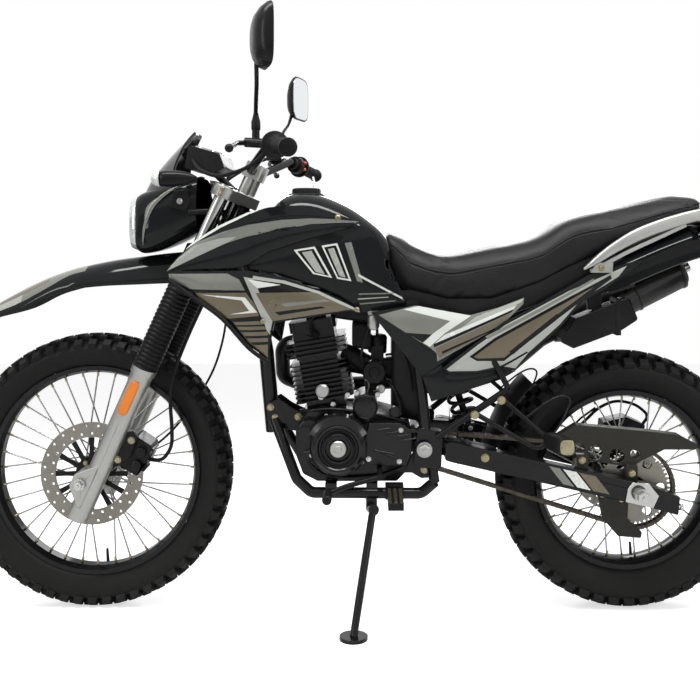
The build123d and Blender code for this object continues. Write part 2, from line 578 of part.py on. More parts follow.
arm = side_plate(ARM_LINE, -ARM_OUT, -ARM_IN, 4)
lug = side_plate([(150, 408), (240, 402), (240, 446), (150, 452)], -91, -66, 8) + box(206, 240, -99, -90, 406, 442)
half_arm = arm + lug
half_arm = half_arm - cross_rod(REAR_AXLE.X, REAR_AXLE.Z, REAR_AXLE_R + RUN_FIT, -200, 0)
pivot_tube = cross_rod(PIVOT[0], PIVOT[2], 24, -91, 91)
brace = cross_rod(280, 415, 15, -99, 99)
swingarm = half_arm + mirror_y(half_arm) + pivot_tube + brace
SHOCK_LOW = (280.0, 0.0, 452.0)
SHOCK_HIGH = (188.0, 0.0, 716.0)
swingarm = swingarm + box(268, 292, -20, -11, 420, 464) + box(268, 292, 11, 20, 420, 464)
swingarm = swingarm - cross_rod(SHOCK_LOW[0], SHOCK_LOW[2], 6.05, -60, 60)
swingarm = swingarm - cross_rod(PIVOT[0], PIVOT[2], 8.05, -200, 200)
add("swingarm", swingarm)
pivot_bolt = cross_rod(PIVOT[0], PIVOT[2], 8, -124, 124) + cross_rod(PIVOT[0], PIVOT[2], 14, -130, -120 - SEAT_GAP)
pivot_bolt = pivot_bolt + cross_rod(PIVOT[0], PIVOT[2], 14, 120 + SEAT_GAP, 130)

shock_way = Vector(*SHOCK_LOW) - Vector(*SHOCK_HIGH)
shock_plane = Plane(origin=Vector(*SHOCK_HIGH), z_dir=shock_way)
shock_length = shock_way.length
SPRING_COILS = 8
coil_low = 42.0
coil_pitch = (shock_length - 40 - coil_low) / SPRING_COILS
shock_line = [(0, 12), (10, 12), (10, 31), (32, 31), (32, coil_low - 1), (24, coil_low - 1)]
for coil in range(SPRING_COILS):
    for share, radius in ((0.1, 24), (0.3, 32), (0.6, 32), (0.8, 24)):
        shock_line.append((radius, coil_low + (coil + share) * coil_pitch))
shock_line += [(24, shock_length - 39), (32, shock_length - 39), (32, shock_length - 29), (10, shock_length - 29),
               (10, shock_length - 12), (0, shock_length - 12)]
shock = shock_plane * revolve(make_face(Plane.XZ * Polyline(*shock_line, close=True)), Axis.Z)
shock = shock + cross_rod(SHOCK_HIGH[0], SHOCK_HIGH[2], 14, -10, 10) + cross_rod(SHOCK_LOW[0], SHOCK_LOW[2], 13, -10.5, 10.5)
shock = shock + cross_rod(SHOCK_LOW[0], SHOCK_LOW[2], 6, -24, 24) + cross_rod(SHOCK_HIGH[0], SHOCK_HIGH[2], 6.95, -24, 24)
add("rear_shock", shock)
SHOCK_MOUNT = box(120, 198, -20, -10.5, 703, 775) + box(120, 198, 10.5, 20, 703, 775)
spine = (spine + SHOCK_MOUNT) - cross_rod(SHOCK_HIGH[0], SHOCK_HIGH[2], 7, -20, 20)
add("main_frame", spine + down_tube)

rear_axle = cross_rod(REAR_AXLE.X, REAR_AXLE.Z, REAR_AXLE_R, -140, 140)
for low, high in ((-145, -ARM_OUT - SEAT_GAP), (ARM_OUT + SEAT_GAP, 145)):
    rear_axle = rear_axle + cross_rod(REAR_AXLE.X, REAR_AXLE.Z, 15, low, high)
rear_axle = rear_axle + cross_rod(REAR_AXLE.X, REAR_AXLE.Z, 15, -ARM_IN + SEAT_GAP, -76.5)
rear_axle = rear_axle + cross_rod(REAR_AXLE.X, REAR_AXLE.Z, 15, 78.5, ARM_IN - SEAT_GAP)
add("swingarm_bolts", rear_axle, pivot_bolt)


def by_axle(outline):
    return [(REAR_AXLE.X + x, REAR_AXLE.Z + z) for x, z in outline]


REAR_DISC_SLOT = (54.0, 66.5)
rear_caliper = side_plate(by_axle([(-34, 78), (-30, 125), (30, 139), (80, 118), (68, 72), (34, 84), (-6, 84)]), 46, 92, 6)
rear_caliper = rear_caliper - cross_rod(REAR_AXLE.X, REAR_AXLE.Z, 115, *REAR_DISC_SLOT)
caliper_arm = side_plate(by_axle([(-22, -26), (22, -26), (40, 92), (-28, 92)]), 80, ARM_IN - SEAT_GAP, 6)
rear_caliper = rear_caliper + caliper_arm - cross_rod(REAR_AXLE.X, REAR_AXLE.Z, 15 + SEAT_GAP, 70, 120)
REAR_HOSE_R = 4.0
hose_seat = REAR_HOSE_R + SEAT_GAP
hose_y = (ARM_IN + ARM_OUT) / 2
rear_hose = hose([(REAR_AXLE.X + 82, 74, REAR_AXLE.Z + 112), (REAR_AXLE.X + 102, 80, REAR_AXLE.Z + 134),
                  (REAR_AXLE.X + 74, 98, REAR_AXLE.Z + 160), (REAR_AXLE.X + 26, hose_y, REAR_AXLE.Z + 168),
                  (REAR_AXLE.X - 22, hose_y, REAR_AXLE.Z + 148), (REAR_AXLE.X - 64, hose_y, REAR_AXLE.Z + 106),
                  (REAR_AXLE.X - 120, hose_y, arm_top(REAR_AXLE.X - 120) + 8),
                  (REAR_AXLE.X - 190, hose_y, arm_top(REAR_AXLE.X - 190) + hose_seat),
                  (ARM_FRONT + 30, hose_y, arm_top(ARM_FRONT + 30) + hose_seat)], REAR_HOSE_R)
add("rear_caliper", rear_caliper, rear_hose - rear_caliper)

# Engine

CASE_HALF = 70.0
case = side_plate([(-158, 400), (-140, 352), (-104, 334), (92, 334), (128, 372), (128, 460), (96, 486), (20, 506),
                   (-132, 506), (-158, 470)], -CASE_HALF, CASE_HALF, 12)
case_mounts = [box(x - 14, x + 14, -96, -60, 318, 338) + box(x - 14, x + 14, 60, 96, 318, 338) for x in (-70, 30)]
case = case + case_mounts + side_plate([(-210, 450), (-150, 440), (-150, 480), (-206, 486)], -14, 14, 6)
case = case - rail - right_rail - down_tube
STARTER = (14.0, 511.0)
starter = cross_rod(STARTER[0], STARTER[1] + 14, 30, -98, -10)
case = case + starter
add("crankcase", case)

COVER_AT = (-51.0, 430.0)
left_cover = Pos(COVER_AT[0], 0, COVER_AT[1]) * ring([(0, -CASE_HALF - SEAT_GAP), (70, -CASE_HALF - SEAT_GAP),
                                                       (70, -112), (64, -120), (44, -124), (40, -121),
                                                       (22, -121), (20, -127), (0, -127)])
sprocket_cover = side_plate([(58, 384), (112, 386), (126, 412), (126, 452), (112, 480), (70, 488)], -106, -95, 8)
sprocket_cover = sprocket_cover + [cross_rod(x, z, 7, -100, -CASE_HALF - SEAT_GAP) for x, z in ((68, 480), (64, 392))]
right_cover = Pos(-18, 0, 412) * ring([(0, CASE_HALF + SEAT_GAP), (78, CASE_HALF + SEAT_GAP), (78, 104), (70, 114),
                                       (0, 118)])
right_cover = right_cover + (Pos(-100, 0, 420) * ring([(0, CASE_HALF + SEAT_GAP), (44, CASE_HALF + SEAT_GAP), (44, 92), (38, 98),
                                                       (0, 98)]))
add("engine_covers", left_cover, sprocket_cover, right_cover)

CYL_TILT = 10.0
CYL = Pos(-82, 0, 506) * Rot(0, -CYL_TILT, 0)
BARREL_TOP = 132.0
HEAD_TOP = 226.0
FINS = 9
barrel = Pos(0, 0, (BARREL_TOP) / 2) * Box(96, 92, BARREL_TOP)
for fin in range(FINS):
    barrel = barrel + Pos(0, 0, 26 + fin * 11.4) * extrude(RectangleRounded(146, 124, 16), 3.4)
barrel = CYL * Pos(0, 0, SEAT_GAP) * barrel - case
add("cylinder", barrel)
head = Pos(0, 0, (BARREL_TOP + HEAD_TOP) / 2) * Box(104, 100, HEAD_TOP - BARREL_TOP - 2 * SEAT_GAP)
for fin in range(4):
    head = head + Pos(0, 0, BARREL_TOP + 8 + fin * 11.4) * extrude(RectangleRounded(150, 132, 16), 3.4)
head = head + Pos(0, 0, HEAD_TOP - 26) * extrude(RectangleRounded(118, 108, 18), 26)
HEADER_R = 19.0
head = CYL * head
HEADER_LINE = [(-150, 34, 668), (-206, 52, 650), (-206, 84, 560), (-150, 124, 528), (60, 138, 534),
               (180, 146, 538), (300, 112, 548), (400, 114, 578), (500, 152, 648.7), (528, 152, 663)]
header = tube(HEADER_LINE, HEADER_R, 34)
header = header - head
add("cylinder_head", head)
add("exhaust_header", header)

MUFFLER_LOW = Vector(528, 152, 663)
MUFFLER_HIGH = Vector(885, 152, 845)
muffler_plane = Plane(origin=MUFFLER_LOW, z_dir=MUFFLER_HIGH - MUFFLER_LOW)
muffler_length = (MUFFLER_HIGH - MUFFLER_LOW).length
MUFFLER_R = 50.0
muffler_face = Polyline((0, SEAT_GAP), (HEADER_R + 4, SEAT_GAP), (MUFFLER_R - 6, 44), (MUFFLER_R, 52),
                        (MUFFLER_R, muffler_length - 14), (MUFFLER_R - 8, muffler_length), (24, muffler_length),
                        (22, muffler_length - 60), (0, muffler_length - 60), close=True)
muffler = muffler_plane * revolve(make_face(Plane.XZ * muffler_face), Axis.Z)
muffler = muffler + side_plate([(668, 778), (742, 800), (742, 866), (690, 852)], 98, 112, 4)
add("muffler", muffler - mirror_y(seat_rail))

intake = rod((-28, 0, 612), (18, 0, 604), 22) - barrel - head
carb = rod((10, 0, 605), (78, 0, 598), 27) + box(24, 64, -26, 26, 548, 600) + box(28, 60, -24, 24, 600, 660)
boot = rod((70, 0, 599), (112, 0, 604), 30)
airbox = box(112 + SEAT_GAP, 168, -66, 66, 560, 735)
airbox = fillet(airbox.edges(), 8)
airbox = airbox - upright - mirror_y(upright) - shock - spine
add("intake", airbox + ((carb + intake + boot) - case))

# Tank, cap, wings and shrouds

TANK = [(-258, 56, 862, 966, 34), (-192, 92, 826, 1036, 40), (-118, 106, 806, 1046, 42), (-30, 104, 800, 1014, 42),
        (40, 88, 806, 964, 34), (74, 72, 822, 930, 30)]
tank = rounded_loft(TANK)
tunnel = side_plate([(-300, 700), (-300, 962), (140, 812), (140, 700)], -34, 34)
tank = tank - tunnel
CAP_AT = (-137.0, 1041.0)
CAP_R = 37.0
cap_seat = Pos(CAP_AT[0], 0, CAP_AT[1] + 20) * Cylinder(CAP_R + 4, 40)
tank = tank - cap_seat
CAP_HEIGHT = 19.0
CAP_NOTCHES = 12
cap = Cylinder(CAP_R, CAP_HEIGHT)
cap = cap - [Rot(0, 0, 360.0 / CAP_NOTCHES * i) * Pos(CAP_R + 2, 0, 3) * Cylinder(5, CAP_HEIGHT) for i in range(CAP_NOTCHES)]
cap = Pos(CAP_AT[0], 0, CAP_AT[1] + SEAT_GAP + CAP_HEIGHT / 2) * cap
add("fuel_tank", tank)
add("fuel_cap", cap)

WING_LINE = [(-452, 858), (-385, 930), (-264, 997), (-168, 1012), (-118, 1010), (4, 972), (10, 940), (-118, 969),
             (-264, 939), (-395, 885)]
WING_PLAN = [(-470, -168.0), (-300, -150.0), (-180, -116.0), (-118, -109.0), (30, -103.0)]
wing = panel(WING_LINE, WING_PLAN, 4.0, 2.0) - tank
SHROUD_LINE = [(-446, 860), (-395, 884.7), (-264, 938.7), (-118, 968.7), (10, 939.7), (6, 758), (-116, 742), (-208, 727), (-218, 647),
               (-314, 725), (-373, 784), (-446, 834)]
SHROUD_PLAN = [(-470, -172.0), (-330, -156.0), (-200, -134.0), (-100, -116.0), (40, -108.0)]
shroud = panel(SHROUD_LINE, SHROUD_PLAN, 4.0, 2.0) - tank - wing
shroud_lug = [cross_rod(x, z, 9, -125, -60) for x, z in ((-150, 900), (-40, 870))]
shroud = (shroud + shroud_lug) - tank
add("wings", wing, mirror_y(wing))
add("shrouds", shroud, mirror_y(shroud))

# Seat, side panels, tail

SEAT = [(74 + SEAT_GAP, 66, 826, 942, 24), (140, 76, 785, 900, 28), (215, 92, 760, 882, 30), (320, 110, 764, 902, 30),
        (432, 116, 802, 926, 30), (505, 116, 840, 970, 30), (620, 114, 888, 998, 28), (760, 106, 952, 1025, 26),
        (836, 80, 996, 1034, 16)]
seat = rounded_loft(SEAT)
add("seat", seat - spine - seat_rail - mirror_y(seat_rail))

PANEL_LINE = [(28, 757), (125, 770), (271, 746), (392, 788), (500, 834), (478, 727), (385, 613), (342, 598), (173, 546), (161, 547),
              (147, 606), (54, 730)]
PANEL_PLAN = [(20, -112.0), (150, -120.0), (320, -122.0), (520, -116.0)]
side_panel = panel(PANEL_LINE, PANEL_PLAN, 4.0, 2.0)
panel_lugs = [cross_rod(x, z, 8, -124, -90) for x, z in ((250, 726), (440, 780))]
side_panel = (side_panel + panel_lugs) - seat_rail - upright - seat - cross_rod(285, 712, 10, -140, -100)
add("side_panels", side_panel, mirror_y(side_panel))

TAIL = [(560, 102, 800, 852), (640, 106, 818, 892), (760, 108, 868, 944), (860, 106, 898, 976), (950, 90, 900, 968), (1020, 66, 892, 934)]
tail = arch_shell(TAIL, 4.0) - seat - seat_rail - mirror_y(seat_rail) - muffler - seat_cross
add("tail", tail)

tail_lamp = arch_loft([(1020 + SEAT_GAP, 66, 892, 934), (1046, 54, 899, 926)])

GRAB_LINE = [(540, 838), (596, 838), (600, 884), (640, 912), (690, 936), (780, 962), (800, 940), (838, 950), (900, 984), (900, 1004),
             (820, 1020), (668, 976), (609, 938), (548, 884)]
grab = side_plate(GRAB_LINE, -132, -118, 6)
grab_slot = side_plate([(668, 938), (748, 962), (752, 986), (674, 964)], -140, -110, 8)
grab = grab - grab_slot
RACK_Z = 992.0
rack = box(846, 904, -132, 132, RACK_Z - 6, RACK_Z + 6)
rack = rack - [Pos(875 + 22 * math.cos(a), 22 * math.sin(a), RACK_Z) * Cylinder(3.3, 40)
               for a in (math.pi / 4, 3 * math.pi / 4, 5 * math.pi / 4, 7 * math.pi / 4)]
grab_lugs = [cross_rod(570, 850, 8, -120, -80), cross_rod(818, 956, 8, -120, -80)]
half_grab = (grab + grab_lugs)
grab_rail = (half_grab + mirror_y(half_grab) + rack) - tail - seat - seat_rail - mirror_y(seat_rail) - muffler
add("grab_rail", grab_rail)

rear_lamp = rod((1000, -50, 890), (1000, -142, 884), 7) + rod((966, -152, 884), (1026, -152, 884), 18) + Pos(966, -152, 884) * Sphere(18)

PLATE_TOP = (1012.0, 903.0)
PLATE_LOW = (1052.0, 690.0)
plate_face = make_face(Polyline((962, 908), PLATE_TOP, PLATE_LOW, (PLATE_LOW[0] - 5, PLATE_LOW[1] - 1),
                                (PLATE_TOP[0] - 6, PLATE_TOP[1] - 7), (962, 901), close=True))
bracket = extrude(Plane.XZ.offset(-64) * plate_face, 128)
bracket = bracket - tail - tail_lamp
add("plate_bracket", bracket)
rear_lamp = rear_lamp - tail - bracket
add("rear_lamps", tail_lamp, rear_lamp, mirror_y(rear_lamp))

tool_box = side_plate([(484, 684), (516, 668), (632, 712), (672, 738), (650, 792), (520, 740)], -112, -66, 8)
tool_lug = box(556, 590, -92, -80, 760, 830)
add("tool_box", (tool_box + tool_lug) - seat_rail - tail)

# Foot controls, stand, guards

peg = box(66, 102, -212, -112, 316, 332) + PEG_LUG
peg = peg - rail - upright - half_arm
HANGER_Y = -158.0
HANGER_LOW = (186, -124, 458)
HANGER_HIGH = (350, HANGER_Y, 582)
PEG_ROOT = (446, HANGER_Y, 462)
back_peg = rod(PEG_ROOT, (470, -216, 462), 13)
hanger = rod(HANGER_LOW, HANGER_HIGH, 8) + rod(HANGER_HIGH, (285, -96, 712), 7)
hanger = hanger + rod((332, HANGER_Y, 562), PEG_ROOT, 6) + tube([(268, HANGER_Y, 526), (420, HANGER_Y, 438), PEG_ROOT], 6, 24)
hanger = hanger + rod((285, -98, 712), (285, -84, 712), 9)
back_peg = (back_peg + hanger) - seat_rail - upright - side_panel
add("footpegs", peg, mirror_y(peg), back_peg, mirror_y(back_peg))

gear_shaft = cross_rod(49, 371, 7, -152, -CASE_HALF)
gear_lever = gear_shaft + tube([(49, -146, 371), (-30, -150, 350), (-74, -158, 336)], 6, 40) + rod((-74, -150, 336), (-74, -204, 336), 8)
gear_lever = (gear_lever - case) - left_cover
brake_pedal = (cross_rod(60, 356, 9, 100, 150) + tube([(60, 146, 356), (-20, 148, 330), (-100, 150, 336)], 7, 40)
               + rod((-100, 140, 336), (-100, 190, 336), 9))
brake_pedal = (brake_pedal + box(50, 70, 92, 102, 326, 366)) - right_rail - mirror_y(PEG_LUG)
add("foot_levers", gear_lever, brake_pedal)

GUARD_Y = (-97.0, -94.0)
GUARD_LINE = [(-189, 129), (-143, 157), (46, 140), (109, 132), (155, 108), (146, 97), (71, 97), (16, 70), (-9, 54),
              (-147, 76)]
GUARD_TOP = [(-189, 129), (-143, 157), (46, 140), (109, 132), (109, 129), (46, 137), (-142, 154), (-186, 127)]
# Columns: x and z from the rear axle, radius
GUARD_HOLES = [(-138, 98, 15), (-97, 90, 18), (-44, 82, 18), (0, 86, 12)]
guard = side_plate(by_axle(GUARD_LINE), *GUARD_Y, 6)
guard = guard - [cross_rod(REAR_AXLE.X + x, REAR_AXLE.Z + z, r, -110, -90) for x, z, r in GUARD_HOLES]
guard = guard + side_plate(by_axle(GUARD_TOP), GUARD_Y[0], -72)
tab_line = [(-14, -10), (14, -10), (14, 34), (-14, 34)]
for x in (REAR_AXLE.X - 132, REAR_AXLE.X - 12):
    guard = guard + side_plate([(x + dx, arm_top(x) + dz) for dx, dz in tab_line], -108, GUARD_Y[1], 2)
guard = guard - half_arm
GUIDE_LINE = [(-101, 23), (-17, 5), (-17, -36), (-19, -70), (16, -103), (14, -118), (-42, -113), (-80, -70)]
guide = side_plate(by_axle(GUIDE_LINE), -97.7, -93, 5)
add("chain_guards", guard, guide - half_arm)

# Side stand: it swings in the plane of its two end directions

ground_up = Vector(0, math.sin(math.radians(LEAN)), math.cos(math.radians(LEAN)))
foot_plane = Plane(origin=STAND_FOOT, x_dir=Vector(1, 0, 0), z_dir=ground_up)
stand = rod(tuple(STAND_PIVOT + STAND_AXIS * 10), tuple(STAND_FOOT + ground_up * 6), 9)
stand = stand + foot_plane * Pos(0, 0, 4) * Cylinder(32, 8)
stand = stand + stand_plane * Pos(0, 0, 10) * Cylinder(13, 20) + stand_plane * Pos(0, 0, 5) * Cylinder(6, 38)
add("side_stand", stand - foot_plane * Pos(0, 0, -100) * Cylinder(200, 200))

# Place the whole bike on its stand and write one file for each node

lean = Rot(LEAN, 0, 0)
leaned = {name: [lean * shape for shape in shapes] for name, shapes in nodes.items()}
boxes = [shape.bounding_box() for shapes in leaned.values() for shape in shapes]
low = [min(getattr(b.min, axis) for b in boxes) for axis in "XYZ"]
high = [max(getattr(b.max, axis) for b in boxes) for axis in "XYZ"]
SHIFT = Vector(-(low[0] + high[0]) / 2, -(low[1] + high[1]) / 2, -low[2])
PLACE = Pos(SHIFT.X, SHIFT.Y, SHIFT.Z) * lean

os.makedirs("parts", exist_ok=True)
for name, shapes in leaned.items():
    solids = [solid for shape in shapes for solid in shape.solids()]
    moved = [Pos(SHIFT.X, SHIFT.Y, SHIFT.Z) * solid for solid in solids]
    whole = moved[0] if len(moved) == 1 else Compound(children=moved)
    export_step(whole, os.path.join("parts", name + ".step"))
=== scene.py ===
from contextlib import contextmanager
import json
import math

import bmesh
import bpy
from mathutils import Matrix, Vector
from mathutils.bvhtree import BVHTree

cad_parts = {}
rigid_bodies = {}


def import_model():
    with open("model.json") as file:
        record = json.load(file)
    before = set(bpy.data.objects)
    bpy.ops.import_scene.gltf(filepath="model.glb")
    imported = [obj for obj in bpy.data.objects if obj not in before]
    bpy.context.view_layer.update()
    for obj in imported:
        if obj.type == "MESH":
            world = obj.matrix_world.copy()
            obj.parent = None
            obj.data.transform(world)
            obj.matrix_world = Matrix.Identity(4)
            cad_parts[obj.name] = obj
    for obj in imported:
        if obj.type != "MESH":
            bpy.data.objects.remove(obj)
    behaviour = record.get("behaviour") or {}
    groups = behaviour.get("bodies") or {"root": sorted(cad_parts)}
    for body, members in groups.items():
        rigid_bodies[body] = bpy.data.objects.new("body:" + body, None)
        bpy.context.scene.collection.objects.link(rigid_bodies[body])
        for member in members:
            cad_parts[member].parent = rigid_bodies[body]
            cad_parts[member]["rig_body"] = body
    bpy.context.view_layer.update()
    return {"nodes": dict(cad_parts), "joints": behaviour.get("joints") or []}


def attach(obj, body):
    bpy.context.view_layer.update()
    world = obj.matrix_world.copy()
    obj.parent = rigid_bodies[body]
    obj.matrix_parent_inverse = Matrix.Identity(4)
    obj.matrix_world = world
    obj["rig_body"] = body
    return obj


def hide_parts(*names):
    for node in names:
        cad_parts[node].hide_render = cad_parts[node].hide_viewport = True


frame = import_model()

bl_info = {
    "name": "Dirt Bike Finish",
    "version": (1, 0, 0),
    "blender": (4, 5, 0),
    "location": "3D View > Sidebar > Dirt Bike",
    "description": "Bodywork, padded seat, tread, chain and finishes around the packed dirt bike",
    "category": "Object",
}

# The bike is drawn upright in millimetres: X to the rear, Y to the rider's right, Z up.
JOINTS = {joint["name"]: joint for joint in frame["joints"]}
AXLE_WAY = Vector(JOINTS["front_wheel_spin"]["axis"])
LEAN = math.atan2(AXLE_WAY.z, AXLE_WAY.y)
UNLEAN = Matrix.Rotation(-LEAN, 4, "X")
STEER_WAY = UNLEAN @ Vector(JOINTS["steering"]["axis"])
RAKE = math.atan2(STEER_WAY.x, STEER_WAY.z)
FRONT_AXLE = Vector((-670, 0, 345))
AXLES = [JOINTS[end + "_wheel_spin"]["pos_m"] for end in ("front", "rear")]
REAR_DROP = 22
REAR_AXLE = FRONT_AXLE + Vector((1000 * (AXLES[1][0] - AXLES[0][0]), 0, -REAR_DROP))
TURN = Matrix.Rotation(LEAN, 4, "X")
SHIFT = Vector(AXLES[0]) - TURN @ (FRONT_AXLE * 0.001)
UPRIGHT = Matrix.Translation(SHIFT) @ TURN @ Matrix.Scale(0.001, 4)
FORK = UPRIGHT @ Matrix.Translation(FRONT_AXLE) @ Matrix.Rotation(RAKE, 4, "Y")
AXLE_LEAD = 23
LEG_Y = 95
SIDES = (-1, 1)
ACROSS = Vector((0, 1, 0))
PAINTS = ["gloss_black", "stripe_silver", "stripe_grey", "stripe_sand", "stripe_pale"]


# Settings

def colour(name, description, default):
    return bpy.props.FloatVectorProperty(name=name, description=description, default=default, size=3,
                                         subtype="COLOR", min=0, max=1)


def length(name, description, default):
    return bpy.props.FloatProperty(name=name, description=description, default=default, unit="LENGTH",
                                   subtype="DISTANCE")


class PaintSettings(bpy.types.PropertyGroup):
    """Colours of the bodywork, its stripes and the painted highlight and reflection on the wings."""
    gloss: colour("Gloss black", "Painted bodywork", (0.006, 0.0065, 0.007))
    silver: colour("Silver", "Wings and broad stripes", (0.30, 0.31, 0.285))
    # The grey also paints the highlight over the lower half of each wing.
    grey: colour("Grey", "Middle stripes", (0.15, 0.155, 0.135))
    sand: colour("Sand", "Warm stripes", (0.105, 0.088, 0.055))
    # The pale also paints the reflection along the top edge of each wing.
    pale: colour("Pale", "Bright edges of the stripes", (0.55, 0.57, 0.53))
    seat: colour("Seat cover", "Grained vinyl of the seat", (0.010, 0.010, 0.0105))


class TyreSettings(bpy.types.PropertyGroup):
    """Tread of both tyres."""
    knob_height: length("Knob height", "How far the tread blocks stand out", 0.013)
    front_count: bpy.props.IntProperty(name="Front blocks", description="Blocks round each front row",
                                       default=56)
    rear_count: bpy.props.IntProperty(name="Rear blocks", description="Blocks round each rear row",
                                      default=48)


class SeatSettings(bpy.types.PropertyGroup):
    """Padding of the seat."""
    voxel: length("Voxel", "Size of the remeshed cover's faces", 0.006)
    cap: length("Most swell", "How far a point of the cover may move", 0.008)
    pressure: bpy.props.FloatProperty(name="Pressure", description="Push of the foam on the cover",
                                      default=4.0)
    frames: bpy.props.IntProperty(name="Frames", description="Steps of the simulation", default=20)


class StageSettings(bpy.types.PropertyGroup):
    """Floor, light and camera."""
    floor: colour("Floor", "Pale studio floor", (0.86, 0.86, 0.86))
    key: bpy.props.FloatProperty(name="Key light", description="Power of the overhead panel", default=85.0,
                                 unit="POWER")
    fill: bpy.props.FloatProperty(name="Fill light", description="Power of the side panels", default=20.0,
                                  unit="POWER")
    lens: bpy.props.FloatProperty(name="Lens", description="Focal length", default=37.06, unit="CAMERA")


# Forms: points in millimetres with faces

def circle(count):
    """Evenly spaced angles of one turn."""
    return [2 * math.pi * k / count for k in range(count)]


def spoke(angle):
    """Way out from a crosswise axis at an angle."""
    return Vector((math.cos(angle), 0, math.sin(angle)))



class Form:
    """Points, faces and the number of the finish of each face."""

    def __init__(self):
        self.points = []
        self.faces = []
        self.marks = []

    def add(self, points, faces, mark=0):
        base = len(self.points)
        self.points += [Vector(point) for point in points]
        self.faces += [[base + i for i in face] for face in faces]
        self.marks += [mark] * len(faces)
        return self

    def join(self, other):
        base = len(self.points)
        self.points += other.points
        self.faces += [[base + i for i in face] for face in other.faces]
        self.marks += other.marks
        return self

    def grid(self, rows, mark=0, ring=True, caps=True, loop=False):
        """Skin over rows of points. A ring closes each row, a loop joins the last row to the first."""
        count = len(rows[0])
        faces = []
        for i in range(len(rows) if loop else len(rows) - 1):
            j = (i + 1) % len(rows)
            for k in range(count if ring else count - 1):
                m = (k + 1) % count
                faces.append([i * count + k, i * count + m, j * count + m, j * count + k])
        if caps and ring and not loop:
            faces.append(list(range(count))[::-1])
            faces.append([(len(rows) - 1) * count + k for k in range(count)])
        return self.add([point for row in rows for point in row], faces, mark)

    def spin(self, profile, centre=(0, 0, 0), axis=(0, 1, 0), steps=48, mark=0, loop=False):
        """Turned form; the profile's columns are radius and distance along the axis."""
        axis = Vector(axis).normalized()
        side = axis.orthogonal().normalized()
        other = axis.cross(side)
        rows = []
        for radius, along in profile:
            base = Vector(centre) + axis * along
            rows.append([base + (side * math.cos(a) + other * math.sin(a)) * max(radius, 0.01)
                         for a in circle(steps)])
        return self.grid(rows, mark, loop=loop)

    def tube(self, path, radius, sides=10, mark=0, loop=False):
        """Round tube along a path, one radius or one for each point."""
        path = [Vector(point) for point in path]
        radii = radius if isinstance(radius, list) else [radius] * len(path)
        count = len(path)
        ways = [(path[(i + 1) % count if loop else min(i + 1, count - 1)]
                 - path[(i - 1) % count if loop else max(i - 1, 0)]).normalized() for i in range(count)]
        side = ways[0].orthogonal().normalized()
        rows = []
        for point, way, r in zip(path, ways, radii):
            side = (side - way * side.dot(way)).normalized()
            other = way.cross(side)
            rows.append([point + (side * math.cos(a) + other * math.sin(a)) * r
                         for a in circle(sides)])
        return self.grid(rows, mark, loop=loop)

    def plate(self, outline, y_low, y_high, mark=0):
        """Flat plate with an XZ outline between two values of Y."""
        count = len(outline)
        points = [(x, y_low, z) for x, z in outline] + [(x, y_high, z) for x, z in outline]
        faces = [list(range(count)), list(range(count, 2 * count))[::-1]]
        faces += [[i, (i + 1) % count, count + (i + 1) % count, count + i] for i in range(count)]
        return self.add(points, faces, mark)

    def box(self, low, high, mark=0):
        outline = [(low[0], low[2]), (high[0], low[2]), (high[0], high[2]), (low[0], high[2])]
        return self.plate(outline, low[1], high[1], mark)

    def mirrored(self):
        """The form with its copy on the other side of the bike."""
        copy = Form()
        copy.points = [Vector((p.x, -p.y, p.z)) for p in self.points]
        copy.faces = [face[::-1] for face in self.faces]
        copy.marks = list(self.marks)
        return self.join(copy)


def catmull(before, start, end, after, t):
    return 0.5 * ((2 * start) + (end - before) * t + (2 * before - 5 * start + 4 * end - after) * t * t
                  + (3 * start - before - 3 * end + after) * t ** 3)


def smooth_rows(rows, steps):
    """More rows between the given ones, on a smooth curve through them. Rows are tuples of numbers."""
    result = []
    for i in range(len(rows) - 1):
        quad = [rows[max(i - 1, 0)], rows[i], rows[i + 1], rows[min(i + 2, len(rows) - 1)]]
        for step in range(steps):
            result.append(tuple(catmull(*column, step / steps) for column in zip(*quad)))
    return result + [tuple(rows[-1])]


def table_at(table, x):
    """Second column of a two-column table at x, on straight runs between its lines."""
    for (x0, y0), (x1, y1) in zip(table, table[1:]):
        if x <= x1:
            break
    return y0 + (y1 - y0) * min(max((x - x0) / (x1 - x0), 0), 1)


def oval(half_width, half_height, power, count):
    """Rounded rectangle as one closed formula."""
    points = []
    for k in range(count):
        angle = 2 * math.pi * (k + 0.5) / count
        c, s = math.cos(angle), math.sin(angle)
        points.append((math.copysign(abs(c) ** (2 / power), c) * half_width,
                       math.copysign(abs(s) ** (2 / power), s) * half_height))
    return points


def body_rows(table, steps=5, power=3.4, count=56, trim=0.0):
    """Rows across X from a table with columns x, half_width, bottom, top."""
    rows = []
    for x, half, low, high in smooth_rows(table, steps):
        loop = oval(half - trim, (high - low) / 2 - trim, power, count)
        rows.append([(x, y, (low + high) / 2 + z) for y, z in loop])
    return rows


def edge_distance(x, z, outline):
    """Distance of a point from the outline."""
    best = 1e9
    for (x0, z0), (x1, z1) in zip(outline, outline[1:] + outline[:1]):
        dx, dz = x1 - x0, z1 - z0
        t = min(max(((x - x0) * dx + (z - z0) * dz) / (dx * dx + dz * dz), 0), 1)
        best = min(best, math.hypot(x - x0 - t * dx, z - z0 - t * dz))
    return best


def inside(x, z, outline):
    hit = False
    for (x0, z0), (x1, z1) in zip(outline, outline[1:] + outline[:1]):
        if (z0 > z) != (z1 > z) and x < (x1 - x0) * (z - z0) / (z1 - z0) + x0:
            hit = not hit
    return hit


